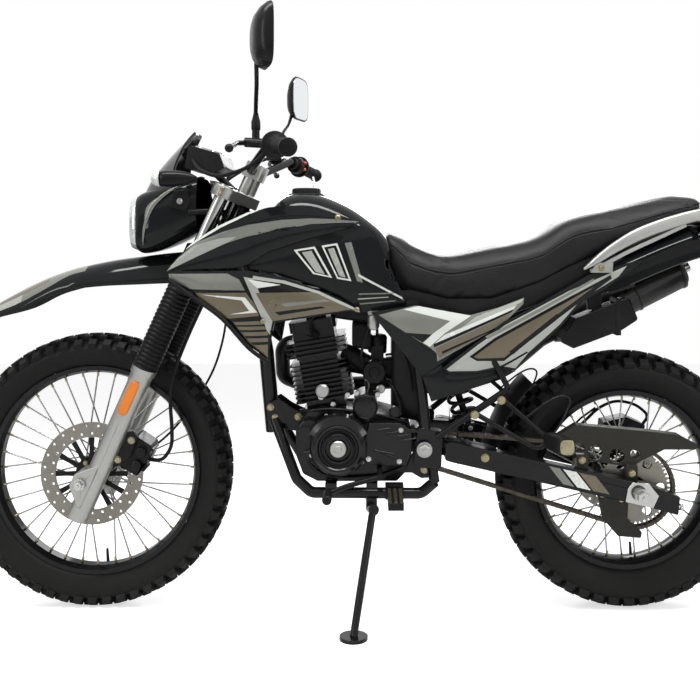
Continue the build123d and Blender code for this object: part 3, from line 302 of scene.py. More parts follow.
def painted_panel(outline, stripes, plan, crown=9.0, reach=22.0, step=11.0, wall=3.0):
    """Crowned side panel on the left. Stripes and painted highlights are (finish number, outline) and are
    cut into its surface.
    """
    work = bmesh.new()
    work.faces.new([work.verts.new((x, 0, z)) for x, z in outline])
    bmesh.ops.triangulate(work, faces=work.faces[:])

    def cut(point, normal):
        geometry = work.verts[:] + work.edges[:] + work.faces[:]
        bmesh.ops.bisect_plane(work, geom=geometry, dist=0.05, plane_co=point, plane_no=normal)

    xs = [x for x, _ in outline]
    zs = [z for _, z in outline]
    for k in range(1, int((max(xs) - min(xs)) / step) + 1):
        cut((min(xs) + k * step, 0, 0), (1, 0, 0))
    for k in range(1, int((max(zs) - min(zs)) / step) + 1):
        cut((0, 0, min(zs) + k * step), (0, 0, 1))
    for _, stripe in stripes:
        for (x0, z0), (x1, z1) in zip(stripe, stripe[1:] + stripe[:1]):
            cut((x0, 0, z0), (z1 - z0, 0, x0 - x1))
    bmesh.ops.remove_doubles(work, verts=work.verts[:], dist=0.5)
    work.verts.index_update()
    points = []
    for vert in work.verts:
        x, z = vert.co.x, vert.co.z
        rise = crown * (1 - math.exp(-edge_distance(x, z, outline) / reach))
        points.append((x, table_at(plan, x) - rise, z))
    form = Form()
    for face in work.faces:
        centre = face.calc_center_median()
        mark = 0
        for number, stripe in stripes:
            if inside(centre.x, centre.z, stripe):
                mark = number
        form.faces.append([vert.index for vert in face.verts])
        form.marks.append(mark)
    form.points = [Vector(point) for point in points]
    edges = [(edge.verts[0].index, edge.verts[1].index) for edge in work.edges if edge.is_boundary]
    work.free()
    count = len(form.points)
    back = [point + Vector((0, wall, 0)) for point in form.points]
    inner = [face[::-1] for face in form.faces]
    form.add(back, inner, 0)
    form.faces += [[a, b, count + b, count + a] for a, b in edges]
    form.marks += [0] * len(edges)
    return form


# Pieces

@contextmanager
def worked(mesh):
    """The mesh open for editing, written back at the end."""
    work = bmesh.new()
    work.from_mesh(mesh)
    yield work
    work.to_mesh(mesh)
    work.free()


def piece(name, form, finishes, body, replaces=(), place=UPRIGHT, angle=38, bevel=0.0, subdivide=0):
    """Mesh object of a form, riding on its body."""
    mesh = bpy.data.meshes.new(name)
    mesh.from_pydata([place @ point for point in form.points], [], form.faces)
    for finish in finishes:
        mesh.materials.append(FINISHES[finish])
    mesh.polygons.foreach_set("material_index", form.marks)
    with worked(mesh) as work:
        bmesh.ops.remove_doubles(work, verts=work.verts[:], dist=2e-6)
        bmesh.ops.recalc_face_normals(work, faces=work.faces[:])
    return settle(name, mesh, body, replaces, angle, bevel, subdivide)


def settle(name, mesh, body, replaces=(), angle=38, bevel=0.0, subdivide=0):
    obj = bpy.data.objects.new(name, mesh)
    bpy.context.scene.collection.objects.link(obj)
    mesh.shade_smooth()
    mesh.set_sharp_from_angle(angle=math.radians(angle))
    if bevel:
        edge = obj.modifiers.new("Rounded edges", "BEVEL")
        edge.width = bevel * 0.001
        edge.segments = 2
        edge.limit_method = "ANGLE"
        edge.angle_limit = math.radians(angle)
        edge.use_clamp_overlap = False
    if subdivide:
        level = obj.modifiers.new("Smooth", "SUBSURF")
        level.levels = subdivide
        level.render_levels = subdivide
    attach(obj, body)
    if replaces:
        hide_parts(*replaces)
    return obj


def dressed(node, finish, slot, bevel=0.0, angle=30):
    """Copy of a CAD node with merged points, smooth round faces and rounded edges, in its place."""
    body = frame["nodes"][node]["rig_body"]
    mesh = frame["nodes"][node].data.copy()
    mesh.materials.clear()
    mesh.materials.append(FINISHES[finish])
    with worked(mesh) as work:
        bmesh.ops.remove_doubles(work, verts=work.verts[:], dist=1e-6)
        for face in work.faces:
            face.material_index = 0
    if mesh.has_custom_normals:
        mesh.attributes.remove(mesh.attributes["custom_normal"])
    return settle(node + "_finished", mesh, body, (node,), angle, bevel)


def dress(rows):
    """Dress several nodes; the columns are node, finish, slot (not used) and bevel."""
    for row in rows:
        dressed(*row)


# Geometry Nodes: one template repeated on points that carry their own directions and sizes

def connect(tree, rows):
    """Link nodes; the columns are source node, output, target node and input."""
    for source, output, target, entry in rows:
        tree.links.new(source.outputs[output], target.inputs[entry])


def repeat_tree():
    tree = bpy.data.node_groups.new("Repeat on points", "GeometryNodeTree")
    sockets = tree.interface
    sockets.new_socket("Geometry", in_out="INPUT", socket_type="NodeSocketGeometry")
    sockets.new_socket("Piece", in_out="INPUT", socket_type="NodeSocketObject")
    sockets.new_socket("Size", in_out="INPUT", socket_type="NodeSocketFloat")
    sockets.new_socket("Finish", in_out="INPUT", socket_type="NodeSocketMaterial")
    sockets.new_socket("Geometry", in_out="OUTPUT", socket_type="NodeSocketGeometry")
    nodes = tree.nodes
    source = nodes.new("NodeGroupInput")
    sink = nodes.new("NodeGroupOutput")
    fields = {}
    for label in ("facing", "along", "size"):
        fields[label] = nodes.new("GeometryNodeInputNamedAttribute")
        fields[label].data_type = "FLOAT_VECTOR"
        fields[label].inputs["Name"].default_value = label
    info = nodes.new("GeometryNodeObjectInfo")
    up = nodes.new("FunctionNodeAlignRotationToVector")
    up.axis = "Z"
    across = nodes.new("FunctionNodeAlignRotationToVector")
    across.axis = "X"
    across.pivot_axis = "Z"
    grow = nodes.new("ShaderNodeVectorMath")
    grow.operation = "SCALE"
    place = nodes.new("GeometryNodeInstanceOnPoints")
    real = nodes.new("GeometryNodeRealizeInstances")
    paint = nodes.new("GeometryNodeSetMaterial")
    connect(tree, ((source, "Piece", info, "Object"), (fields["facing"], "Attribute", up, "Vector"),
                   (up, "Rotation", across, "Rotation"), (fields["along"], "Attribute", across, "Vector"),
                   (fields["size"], "Attribute", grow, 0), (source, "Size", grow, "Scale"),
                   (source, "Geometry", place, "Points"), (info, "Geometry", place, "Instance"),
                   (across, "Rotation", place, "Rotation"), (grow, "Vector", place, "Scale"),
                   (place, "Instances", real, "Geometry"), (real, "Geometry", paint, "Geometry"),
                   (source, "Finish", paint, "Material"), (paint, "Geometry", sink, "Geometry")))
    return tree


def repeated(name, template, spots, finish, body, place=UPRIGHT, size=1.0, angle=30):
    """Template form on every spot. A spot is (point, facing, along, size), in the frame of place."""
    pattern = bpy.data.meshes.new(name + "_pattern")
    pattern.from_pydata([point * 0.001 for point in template.points], [], template.faces)
    with worked(pattern) as work:
        bmesh.ops.recalc_face_normals(work, faces=work.faces[:])
    pattern_object = bpy.data.objects.new(name + "_pattern", pattern)
    points = bpy.data.meshes.new(name + "_points")
    points.from_pydata([place @ Vector(spot[0]) for spot in spots], [], [])
    turn = place.to_3x3().normalized()
    for column, label in ((1, "facing"), (2, "along")):
        layer = points.attributes.new(label, "FLOAT_VECTOR", "POINT")
        for i, spot in enumerate(spots):
            layer.data[i].vector = turn @ Vector(spot[column])
    layer = points.attributes.new("size", "FLOAT_VECTOR", "POINT")
    for i, spot in enumerate(spots):
        layer.data[i].vector = spot[3]
    carrier = bpy.data.objects.new(name + "_points", points)
    bpy.context.scene.collection.objects.link(carrier)
    modifier = carrier.modifiers.new("Repeat", "NODES")
    tree = bpy.data.node_groups.get("Repeat on points") or repeat_tree()
    modifier.node_group = tree
    keys = {item.name: item.identifier for item in tree.interface.items_tree if item.in_out == "INPUT"}
    modifier[keys["Piece"]] = pattern_object
    modifier[keys["Size"]] = float(size)
    modifier[keys["Finish"]] = FINISHES[finish]
    graph = bpy.context.evaluated_depsgraph_get()
    mesh = bpy.data.meshes.new_from_object(carrier.evaluated_get(graph))
    bpy.data.objects.remove(carrier)
    bpy.data.objects.remove(pattern_object)
    if not mesh.vertices:
        raise RuntimeError(name + " came out empty")
    mesh.name = name
    return settle(name, mesh, body, angle=angle)


def bolt_template():
    """Hexagon head on a washer, one millimetre across its radius, standing on Z = 0."""
    form = Form()
    form.spin([(1.25, 0), (1.25, 0.16)], axis=(0, 0, 1), steps=14)
    form.spin([(1.0, 0.16), (1.0, 0.7), (0.82, 0.82)], axis=(0, 0, 1), steps=6)
    form.spin([(0.4, 0.82), (0.36, 1.0)], axis=(0, 0, 1), steps=8)
    return form


def both(*spots):
    """Each spot (x, y, z, radius) on both sides of the bike."""
    return [(x, side * y, z, radius) for x, y, z, radius in spots for side in SIDES]


def bolts(name, spots, finish, body, place=UPRIGHT):
    """Spots are (x, y, z, radius) or (x, y, z, radius, facing); facing is along Y, outward, if not given."""
    table = []
    for spot in spots:
        x, y, z, radius = spot[:4]
        facing = Vector(spot[4]) if len(spot) > 4 else Vector((0, math.copysign(1, y), 0))
        table.append(((x, y, z), facing, facing.orthogonal(), (radius, radius, radius)))
    return repeated(name, bolt_template(), table, finish, body, place)


# Shader node groups

FINISHES = {}


def shader_group(name, inputs, outputs):
    tree = bpy.data.node_groups.new(name, "ShaderNodeTree")
    for kind, label, value in inputs:
        tree.interface.new_socket(label, in_out="INPUT", socket_type=kind).default_value = value
    for kind, label in outputs:
        tree.interface.new_socket(label, in_out="OUTPUT", socket_type=kind)
    return tree, tree.nodes.new("NodeGroupInput"), tree.nodes.new("NodeGroupOutput")


def math_node(nodes, operation):
    node = nodes.new("ShaderNodeMath")
    node.operation = operation
    return node


def set_inputs(node, values):
    for socket, value in values.items():
        node.inputs[socket].default_value = value
    return node


def group_node(nodes, name, values):
    node = nodes.new("ShaderNodeGroup")
    node.node_tree = bpy.data.node_groups[name]
    return set_inputs(node, values)


# Places of the colour sockets on a Mix node
COLOUR_A, COLOUR_B, COLOUR_RESULT = 6, 7, 2
DUST_COLOUR = (0.19, 0.17, 0.14, 1)
GRAIN_DEPTH = 0.0006
COAT_ROUGHNESS = 0.04


def mottle_group():
    """Slow variation of colour and roughness."""
    tree, source, sink = shader_group(
        "Mottle",
        [("NodeSocketColor", "Colour", (0.5, 0.5, 0.5, 1)), ("NodeSocketColor", "Worn", (0.6, 0.6, 0.6, 1)),
         ("NodeSocketFloat", "Scale", 8.0), ("NodeSocketFloat", "Amount", 0.3),
         ("NodeSocketFloat", "Smooth", 0.3), ("NodeSocketFloat", "Rough", 0.5)],
        [("NodeSocketColor", "Colour"), ("NodeSocketFloat", "Roughness")])
    nodes = tree.nodes
    where = nodes.new("ShaderNodeTexCoord")
    cloud = set_inputs(nodes.new("ShaderNodeTexNoise"), {"Detail": 5, "Roughness": 0.62})
    spread = set_inputs(nodes.new("ShaderNodeMapRange"), {"From Min": 0.32, "From Max": 0.72})
    weight = math_node(nodes, "MULTIPLY")
    mix = nodes.new("ShaderNodeMix")
    mix.data_type = "RGBA"
    level = nodes.new("ShaderNodeMapRange")
    connect(tree,
            ((where, "Object", cloud, "Vector"), (source, "Scale", cloud, "Scale"),
             (cloud, "Fac", spread, "Value"), (spread, "Result", weight, 0), (source, "Amount", weight, 1),
             (weight, "Value", mix, "Factor"), (source, "Colour", mix, COLOUR_A),
             (source, "Worn", mix, COLOUR_B), (spread, "Result", level, "Value"),
             (source, "Smooth", level, "To Min"), (source, "Rough", level, "To Max"),
             (mix, COLOUR_RESULT, sink, "Colour"), (level, "Result", sink, "Roughness")))
    return tree


def grain_group():
    """Height of a moulded, cast or leather grain: cells mixed with fine noise."""
    tree, source, sink = shader_group(
        "Grain",
        [("NodeSocketFloat", "Scale", 300.0), ("NodeSocketFloat", "Cells", 0.5)],
        [("NodeSocketFloat", "Height")])
    nodes = tree.nodes
    where = nodes.new("ShaderNodeTexCoord")
    cells = nodes.new("ShaderNodeTexVoronoi")
    cells.feature = "DISTANCE_TO_EDGE"
    noise = set_inputs(nodes.new("ShaderNodeTexNoise"), {"Detail": 3})
    mix = nodes.new("ShaderNodeMix")
    for texture in (cells, noise):
        connect(tree, ((where, "Object", texture, "Vector"), (source, "Scale", texture, "Scale")))
    connect(tree, ((source, "Cells", mix, 0), (noise, "Fac", mix, 2), (cells, "Distance", mix, 3),
                   (mix, 0, sink, "Height")))
    return tree


def dust_group():
    """Mask of road dust that thins out above the ground."""
    tree, source, sink = shader_group("Dust",
                                      [("NodeSocketFloat", "Top", 0.5), ("NodeSocketFloat", "Amount", 0.2),
                                       ("NodeSocketFloat", "Scale", 30.0)], [("NodeSocketFloat", "Mask")])
    nodes = tree.nodes
    where = nodes.new("ShaderNodeTexCoord")
    split = nodes.new("ShaderNodeSeparateXYZ")
    fade = set_inputs(nodes.new("ShaderNodeMapRange"), {"To Min": 1, "To Max": 0})
    speck = set_inputs(nodes.new("ShaderNodeTexNoise"), {"Detail": 6})
    first, second = math_node(nodes, "MULTIPLY"), math_node(nodes, "MULTIPLY")
    connect(tree,
            ((where, "Object", split, "Vector"), (where, "Object", speck, "Vector"),
             (source, "Scale", speck, "Scale"), (split, "Z", fade, "Value"),
             (source, "Top", fade, "From Max"), (fade, "Result", first, 0), (speck, "Fac", first, 1),
             (first, "Value", second, 0), (source, "Amount", second, 1), (second, "Value", sink, "Mask")))
    return tree


def make_finish(name, base, worn=None, amount=0.3, scale=9.0, rough=(0.3, 0.45), metallic=0.0, specular=0.5,
                grain=0.0, grain_scale=500.0, cells=0.4, dust=0.0, coat=0.0, glass=0.0, ior=1.45):
    """Procedural material from the shared groups."""
    material = bpy.data.materials.new(name)
    material.use_nodes = True
    tree = material.node_tree
    nodes = tree.nodes
    shader = nodes["Principled BSDF"]
    set_inputs(shader, {"Metallic": metallic, "Specular IOR Level": specular, "Coat Weight": coat,
                        "Coat Roughness": COAT_ROUGHNESS, "Transmission Weight": glass, "IOR": ior})
    worn = worn or [min(1, c * 1.5 + 0.01) for c in base]
    mottle = group_node(nodes, "Mottle", {"Colour": (*base, 1), "Worn": (*worn, 1), "Scale": scale,
                                          "Amount": amount, "Smooth": rough[0], "Rough": rough[1]})
    tinted, tint = mottle, "Colour"
    if dust:
        mask = group_node(nodes, "Dust", {"Amount": dust})
        over = nodes.new("ShaderNodeMix")
        over.data_type = "RGBA"
        over.inputs[COLOUR_B].default_value = DUST_COLOUR
        connect(tree, ((mask, "Mask", over, "Factor"), (mottle, "Colour", over, COLOUR_A)))
        tinted, tint = over, COLOUR_RESULT
    connect(tree, ((tinted, tint, shader, "Base Color"), (mottle, "Roughness", shader, "Roughness")))
    if grain:
        texture = group_node(nodes, "Grain", {"Scale": grain_scale, "Cells": cells})
        bump = set_inputs(nodes.new("ShaderNodeBump"), {"Strength": grain, "Distance": GRAIN_DEPTH})
        connect(tree, ((texture, "Height", bump, "Height"), (bump, "Normal", shader, "Normal")))
    FINISHES[name] = material


class BIKE_OT_finishes(bpy.types.Operator):
    """Make the paints, metals, rubbers and plastics."""
    bl_idname = "bike.finishes"
    bl_label = "Finishes"

    def execute(self, context):
        mottle_group()
        grain_group()
        dust_group()
        paint = context.scene.bike_paint
        make_finish("gloss_black", paint.gloss, amount=0.15, rough=(0.05, 0.10), specular=0.2, scale=5,
                    grain=0.02, grain_scale=900)
        # Stripe paints; the grey and pale also paint the wings' highlight and reflection.
        for name in ("silver", "grey", "sand", "pale"):
            make_finish("stripe_" + name, getattr(paint, name), amount=0.18, rough=(0.18, 0.3),
                        metallic=0.25, grain=0.03, grain_scale=1400, coat=0.3)
        make_finish("satin_black", (0.006, 0.006, 0.0065), rough=(0.2, 0.32), specular=0.14, grain=0.12,
                    grain_scale=700)
        make_finish("matte_plastic", (0.007, 0.007, 0.0075), rough=(0.34, 0.48), specular=0.13, grain=0.2,
                    grain_scale=900, cells=0.7)
        make_finish("rubber", (0.006, 0.006, 0.006), rough=(0.34, 0.5), specular=0.13, grain=0.2,
                    grain_scale=600, dust=0.03)
        make_finish("tyre", (0.006, 0.006, 0.006), worn=(0.014, 0.0135, 0.0125), amount=0.5, scale=22,
                    rough=(0.42, 0.62), specular=0.14, grain=0.3, grain_scale=420, dust=0.02)
        make_finish("engine_black", (0.006, 0.006, 0.0065), worn=(0.014, 0.014, 0.014), rough=(0.14, 0.25),
                    specular=0.26, grain=0.05, grain_scale=700, scale=20)
        make_finish("frame_black", (0.005, 0.005, 0.0055), rough=(0.1, 0.18), specular=0.24, grain=0.06,
                    grain_scale=300)
        make_finish("alloy", (0.33, 0.33, 0.315), worn=(0.43, 0.43, 0.41), amount=0.4, rough=(0.3, 0.42),
                    metallic=0.85, grain=0.12, grain_scale=700)
        make_finish("bright_steel", (0.42, 0.42, 0.41), rough=(0.14, 0.24), metallic=1.0, grain=0.05)
        make_finish("disc_steel", (0.17, 0.165, 0.14), worn=(0.25, 0.24, 0.21), amount=0.6,
                    rough=(0.3, 0.42), metallic=0.9, grain=0.2, grain_scale=1100)
        make_finish("zinc", (0.27, 0.235, 0.13), worn=(0.36, 0.33, 0.24), amount=0.7, scale=60,
                    rough=(0.26, 0.4), metallic=0.95, grain=0.1)
        make_finish("spoke_steel", (0.27, 0.27, 0.265), rough=(0.2, 0.32), metallic=1.0, grain=0.05)
        make_finish("chain_steel", (0.04, 0.037, 0.03), worn=(0.12, 0.105, 0.075), amount=0.6, scale=80,
                    rough=(0.3, 0.5), metallic=0.9, grain=0.1)
        make_finish("guard_olive", (0.016, 0.0155, 0.012), rough=(0.24, 0.36), specular=0.2, grain=0.15,
                    grain_scale=800)
        make_finish("exhaust_black", (0.007, 0.007, 0.007), worn=(0.02, 0.017, 0.014), amount=0.6, scale=14,
                    rough=(0.28, 0.5), metallic=0.3, grain=0.15)
        make_finish("seat_vinyl", paint.seat, worn=(0.02, 0.02, 0.0195), amount=0.35, rough=(0.3, 0.44),
                    specular=0.15, grain=0.55, grain_scale=620, cells=0.85)
        make_finish("thread", (0.05, 0.05, 0.05), rough=(0.6, 0.8), grain=0.3, grain_scale=2500)
        make_finish("amber", (0.62, 0.16, 0.006), worn=(0.75, 0.22, 0.01), rough=(0.08, 0.16), grain=0.5,
                    grain_scale=380, cells=1)
        make_finish("red", (0.45, 0.008, 0.008), rough=(0.1, 0.2), grain=0.3, grain_scale=380, cells=1)
        make_finish("clear", (0.95, 0.96, 0.96), amount=0.05, rough=(0.02, 0.06), glass=1.0)
        make_finish("lens", (0.5, 0.52, 0.51), amount=0.1, rough=(0.05, 0.1), metallic=0.35, coat=0.6)
        make_finish("smoke", (0.03, 0.031, 0.03), amount=0.2, rough=(0.05, 0.12), specular=0.6, coat=0.4)
        make_finish("mirror", (0.82, 0.84, 0.85), amount=0.05, rough=(0.01, 0.03), metallic=1.0)
        make_finish("dial_white", (0.75, 0.75, 0.73), rough=(0.4, 0.5), grain=0.05)
        return {"FINISHED"}


# Wheels

# Columns of the rows of blocks: share of the half width, length, width, start as a share of the spacing
TYRES = {
    "front": dict(axle=FRONT_AXLE, outer=345, half=41, seat=264.3, seat_half=23, body="front_wheel",
                  rows=[(0.0, 22, 15, 0.0), (0.42, 20, 13, 0.5), (-0.42, 20, 13, 0.5), (0.95, 22, 20, 0.0),
                        (-0.95, 22, 20, 0.0)]),
    "rear": dict(axle=REAR_AXLE, outer=323, half=55, seat=226.3, seat_half=30, body="rear_wheel",
                 rows=[(0.0, 25, 20, 0.0), (0.44, 23, 17, 0.5), (-0.44, 23, 17, 0.5), (0.93, 26, 24, 0.0),
                       (-0.93, 26, 24, 0.0)]),
}


def crown_arc(outer, half, share):
    """Radius, Y and lean of the tread's surface at a share of the half width."""
    sag, chord = 0.34 * half, 0.86 * half
    arc = (chord ** 2 + sag ** 2) / (2 * sag)
    lean = math.asin(share * chord / arc)
    return outer - arc + arc * math.cos(lean), arc * math.sin(lean), lean


def arc_through(start, middle, end, count):
    """Points of a quadratic bow from start to end whose middle passes through the given point."""
    (x0, y0), (xm, ym), (x1, y1) = start, middle, end
    cx, cy = 2 * xm - (x0 + x1) / 2, 2 * ym - (y0 + y1) / 2
    return [((1 - t) ** 2 * x0 + 2 * t * (1 - t) * cx + t * t * x1,
             (1 - t) ** 2 * y0 + 2 * t * (1 - t) * cy + t * t * y1)
            for t in (k / count for k in range(count + 1))]


class BIKE_OT_tyres(bpy.types.Operator):
    """Model the tyres with their tread blocks."""
    bl_idname = "bike.tyres"
    bl_label = "Tyres"

    def execute(self, context):
        settings = context.scene.bike_tyres
        height = settings.knob_height * 1000
        block = Form()
        block.grid([[(x * w, y * w, z) for x, y in ((-0.5, -0.5), (0.5, -0.5), (0.5, 0.5), (-0.5, 0.5))]
                    for z, w in ((-0.25, 1.06), (0.82, 0.94), (1.0, 0.84))])
        for end, count in (("front", settings.front_count), ("rear", settings.rear_count)):
            data = TYRES[end]
            outer, half = data["outer"] - height, data["half"]
            crown = [crown_arc(outer, half, -1 + k / 8)[:2] for k in range(17)]
            widest = data["seat"] + 0.52 * (outer - data["seat"])
            wall = arc_through(crown[-1], (widest, half), (data["seat"], 0.9 * data["seat_half"]), 10)[1:]
            for k, lift in ((6, 1.2), (8, 1.4)):
                wall[k] = (wall[k][0], wall[k][1] + lift)
            left = [(r, -y) for r, y in wall][::-1]
            form = Form().spin(left + crown + wall, data["axle"], steps=120, loop=True)
            piece(end + "_tyre_carcass", form, ["tyre"], data["body"], (end + "_tyre",),
                  angle=60)
            spots = []
            for share, along, across, phase in data["rows"]:
                radius, y, lean = crown_arc(outer, half, share)
                for k in range(count):
                    angle = 2 * math.pi * (k + phase) / count
                    radial = spoke(angle)
                    facing = radial * math.cos(lean) + Vector((0, math.sin(lean), 0))
                    spots.append((data["axle"] + radial * radius + Vector((0, y, 0)), facing,
                                  Vector((-math.sin(angle), 0, math.cos(angle))), (along, across, height)))
            repeated(end + "_tyre_knobs", block, spots, "tyre", data["body"])
        return {"FINISHED"}


class BIKE_OT_wheels(bpy.types.Operator):
    """Finish rims, hubs, spokes, discs and the sprocket."""
    bl_idname = "bike.wheels"
    bl_label = "Wheels"

    def execute(self, context):
        for end, axle, inner in (("front", FRONT_AXLE, 246), ("rear", REAR_AXLE, 207)):
            body = end + "_wheel"
            dressed(end + "_rim", "frame_black", "gloss_black", angle=24)
            dressed(end + "_hub", "satin_black", "alloy", angle=30)
            dressed(end + "_spokes", "spoke_steel", "steel", angle=60)
            dressed(end + "_disc", "disc_steel", "steel", angle=30)
            nipple = Form().spin([(2.6, -8), (3.0, -7), (3.0, 1), (3.4, 1.2), (3.4, 5)], axis=(0, 0, 1),
                                 steps=8)
            spots = []
            for k, angle in enumerate(circle(36)):
                radial = spoke(angle)
                side = -1 if k % 2 else 1
                spots.append((axle + radial * (inner - 2.5) + Vector((0, side * 4, 0)), radial, (0, 1, 0),
                              (1, 1, 1)))
            repeated(end + "_nipples", nipple, spots, "zinc", body)
            valve = Form().tube([axle + Vector((24, 0, -inner + 6)), axle + Vector((22, 0, -inner + 38))],
                                [4, 3], 10)
            piece(end + "_valve", valve, ["rubber"], body)
        dressed("rear_sprocket", "disc_steel", "steel", angle=30)
        spider = Form()
        spider.spin([(22, -47.2), (40, -47.2), (40, -46.3), (22, -46.3)], FRONT_AXLE, steps=48, loop=True)
        for angle in circle(12):
            way = spoke(angle)
            side = Vector((-math.sin(angle), 0, math.cos(angle)))
            rows = []
            for radius, half in ((36, 7), (62, 5.5), (90, 7)):
                base = FRONT_AXLE + way * radius
                rows.append([base + side * half + Vector((0, y, 0)) for y in (-46.3, -47.4)]
                            + [base - side * half + Vector((0, y, 0)) for y in (-47.4, -46.3)])
            spider.grid(rows)
        piece("front_disc_spider", spider, ["satin_black"], "front_wheel", bevel=0.3)
        spots = [(FRONT_AXLE.x + 30 * math.cos(a), -47.2, FRONT_AXLE.z + 30 * math.sin(a), 5)
                 for a in circle(6)]
        bolts("front_disc_bolts", spots, "zinc", "front_wheel")
        return {"FINISHED"}


# Front end

class BIKE_OT_fork(bpy.types.Operator):
    """Finish the fork, its bellows, reflectors, caliper and lines."""
    bl_idname = "bike.fork"
    bl_label = "Fork"

    def execute(self, context):
        dress((("fork_lowers", "alloy", "alloy", 1.2), ("fork_stanchions", "bright_steel", "steel", 0),
               ("lower_clamp", "satin_black", "alloy", 1.0), ("upper_clamp", "alloy", "alloy", 1.0),
               ("front_axle", "bright_steel", "steel", 0.6),
               ("front_caliper", "satin_black", "matte_black", 1.2),
               ("control_lines", "rubber", "rubber_black", 0)))
        lowers = bpy.data.objects["fork_lowers_finished"].data
        lowers.materials.append(FINISHES["satin_black"])
        leg = FORK.inverted()
        for face in lowers.polygons:
            if (leg @ face.center).x > 54:
                face.material_index = 1
        bellows = Form()
        ribs, low, high = 26, 297.3, 598.0
        profile = [(18.3, low), (29.5, low), (30.5, low + 14)]
        for k in range(ribs * 6 + 1):
            height = low + 16 + (high - low - 20) * k / (ribs * 6)
            profile.append((28.6 + 3.3 * abs(math.cos(math.pi * k / 6)) ** 0.7, height))
        profile += [(28, high), (18.3, high)]
        for side in SIDES:
            bellows.spin(profile, (AXLE_LEAD, side * LEG_Y, 0), (0, 0, 1), 36, loop=True)
        piece("fork_bellows", bellows, ["rubber"], "front_end", ("fork_gaiters",), FORK,
              angle=70)
        collars, reflectors = Form(), Form()
        for side in SIDES:
            collars.spin([(26.2, 270), (27.6, 271), (27.6, 292), (30.6, 296), (31.4, 312), (26.2, 312)],
                         (AXLE_LEAD, side * LEG_Y, 0), (0, 0, 1), 36, loop=True)
            y = side * (LEG_Y + 25)
            outline = [(AXLE_LEAD + 12 * x, 236 + 43 * z) for x, z in oval(1, 1, 5, 28)]
            reflectors.plate(outline, y, y + side * 6, 0)
            inner = [(AXLE_LEAD + 9.6 * x, 236 + 40 * z) for x, z in oval(1, 1, 5, 28)]
            reflectors.plate(inner, y + side * 5, y + side * 7.2, 1)
        piece("fork_collars", collars, ["alloy"], "front_end", (), FORK)
        piece("fork_reflectors", reflectors, ["amber", "amber"], "front_end", (), FORK, bevel=0.8)
        spots = []
        for side in SIDES:
            spots += [(AXLE_LEAD, side * (LEG_Y + 30), z, 4.5) for z in (607, 622, 772, 786)]
        spots += [(55, -(LEG_Y + 6), 82, 7), (66, -(LEG_Y + 6), 138, 7)]
        bolts("fork_bolts", spots, "zinc", "front_end", FORK)
        bolts("front_axle_nuts", both((0, 130, 0, 10)), "bright_steel", "front_end", FORK)
        ribs_form = Form()
        for z in (76, 94, 112, 130):
            ribs_form.box((112, -84, z - 3), (123, -36, z + 3))
        ribs_form.spin([(12, 0), (12, 10), (9, 12)], (100, -88, 84), (0, -1, 0), 20)
        ribs_form.spin([(12, 0), (12, 10), (9, 12)], (98, -88, 118), (0, -1, 0), 20)
        piece("front_caliper_body", ribs_form, ["satin_black"], "front_end", (), FORK,
              bevel=0.8)
        return {"FINISHED"}


def bar_end(side):
    """Outer end of the bar and the way inward along it."""
    end = Vector((-142, 395 * side, 1122))
    return end, (Vector((-203, 222 * side, 1148)) - end).normalized()


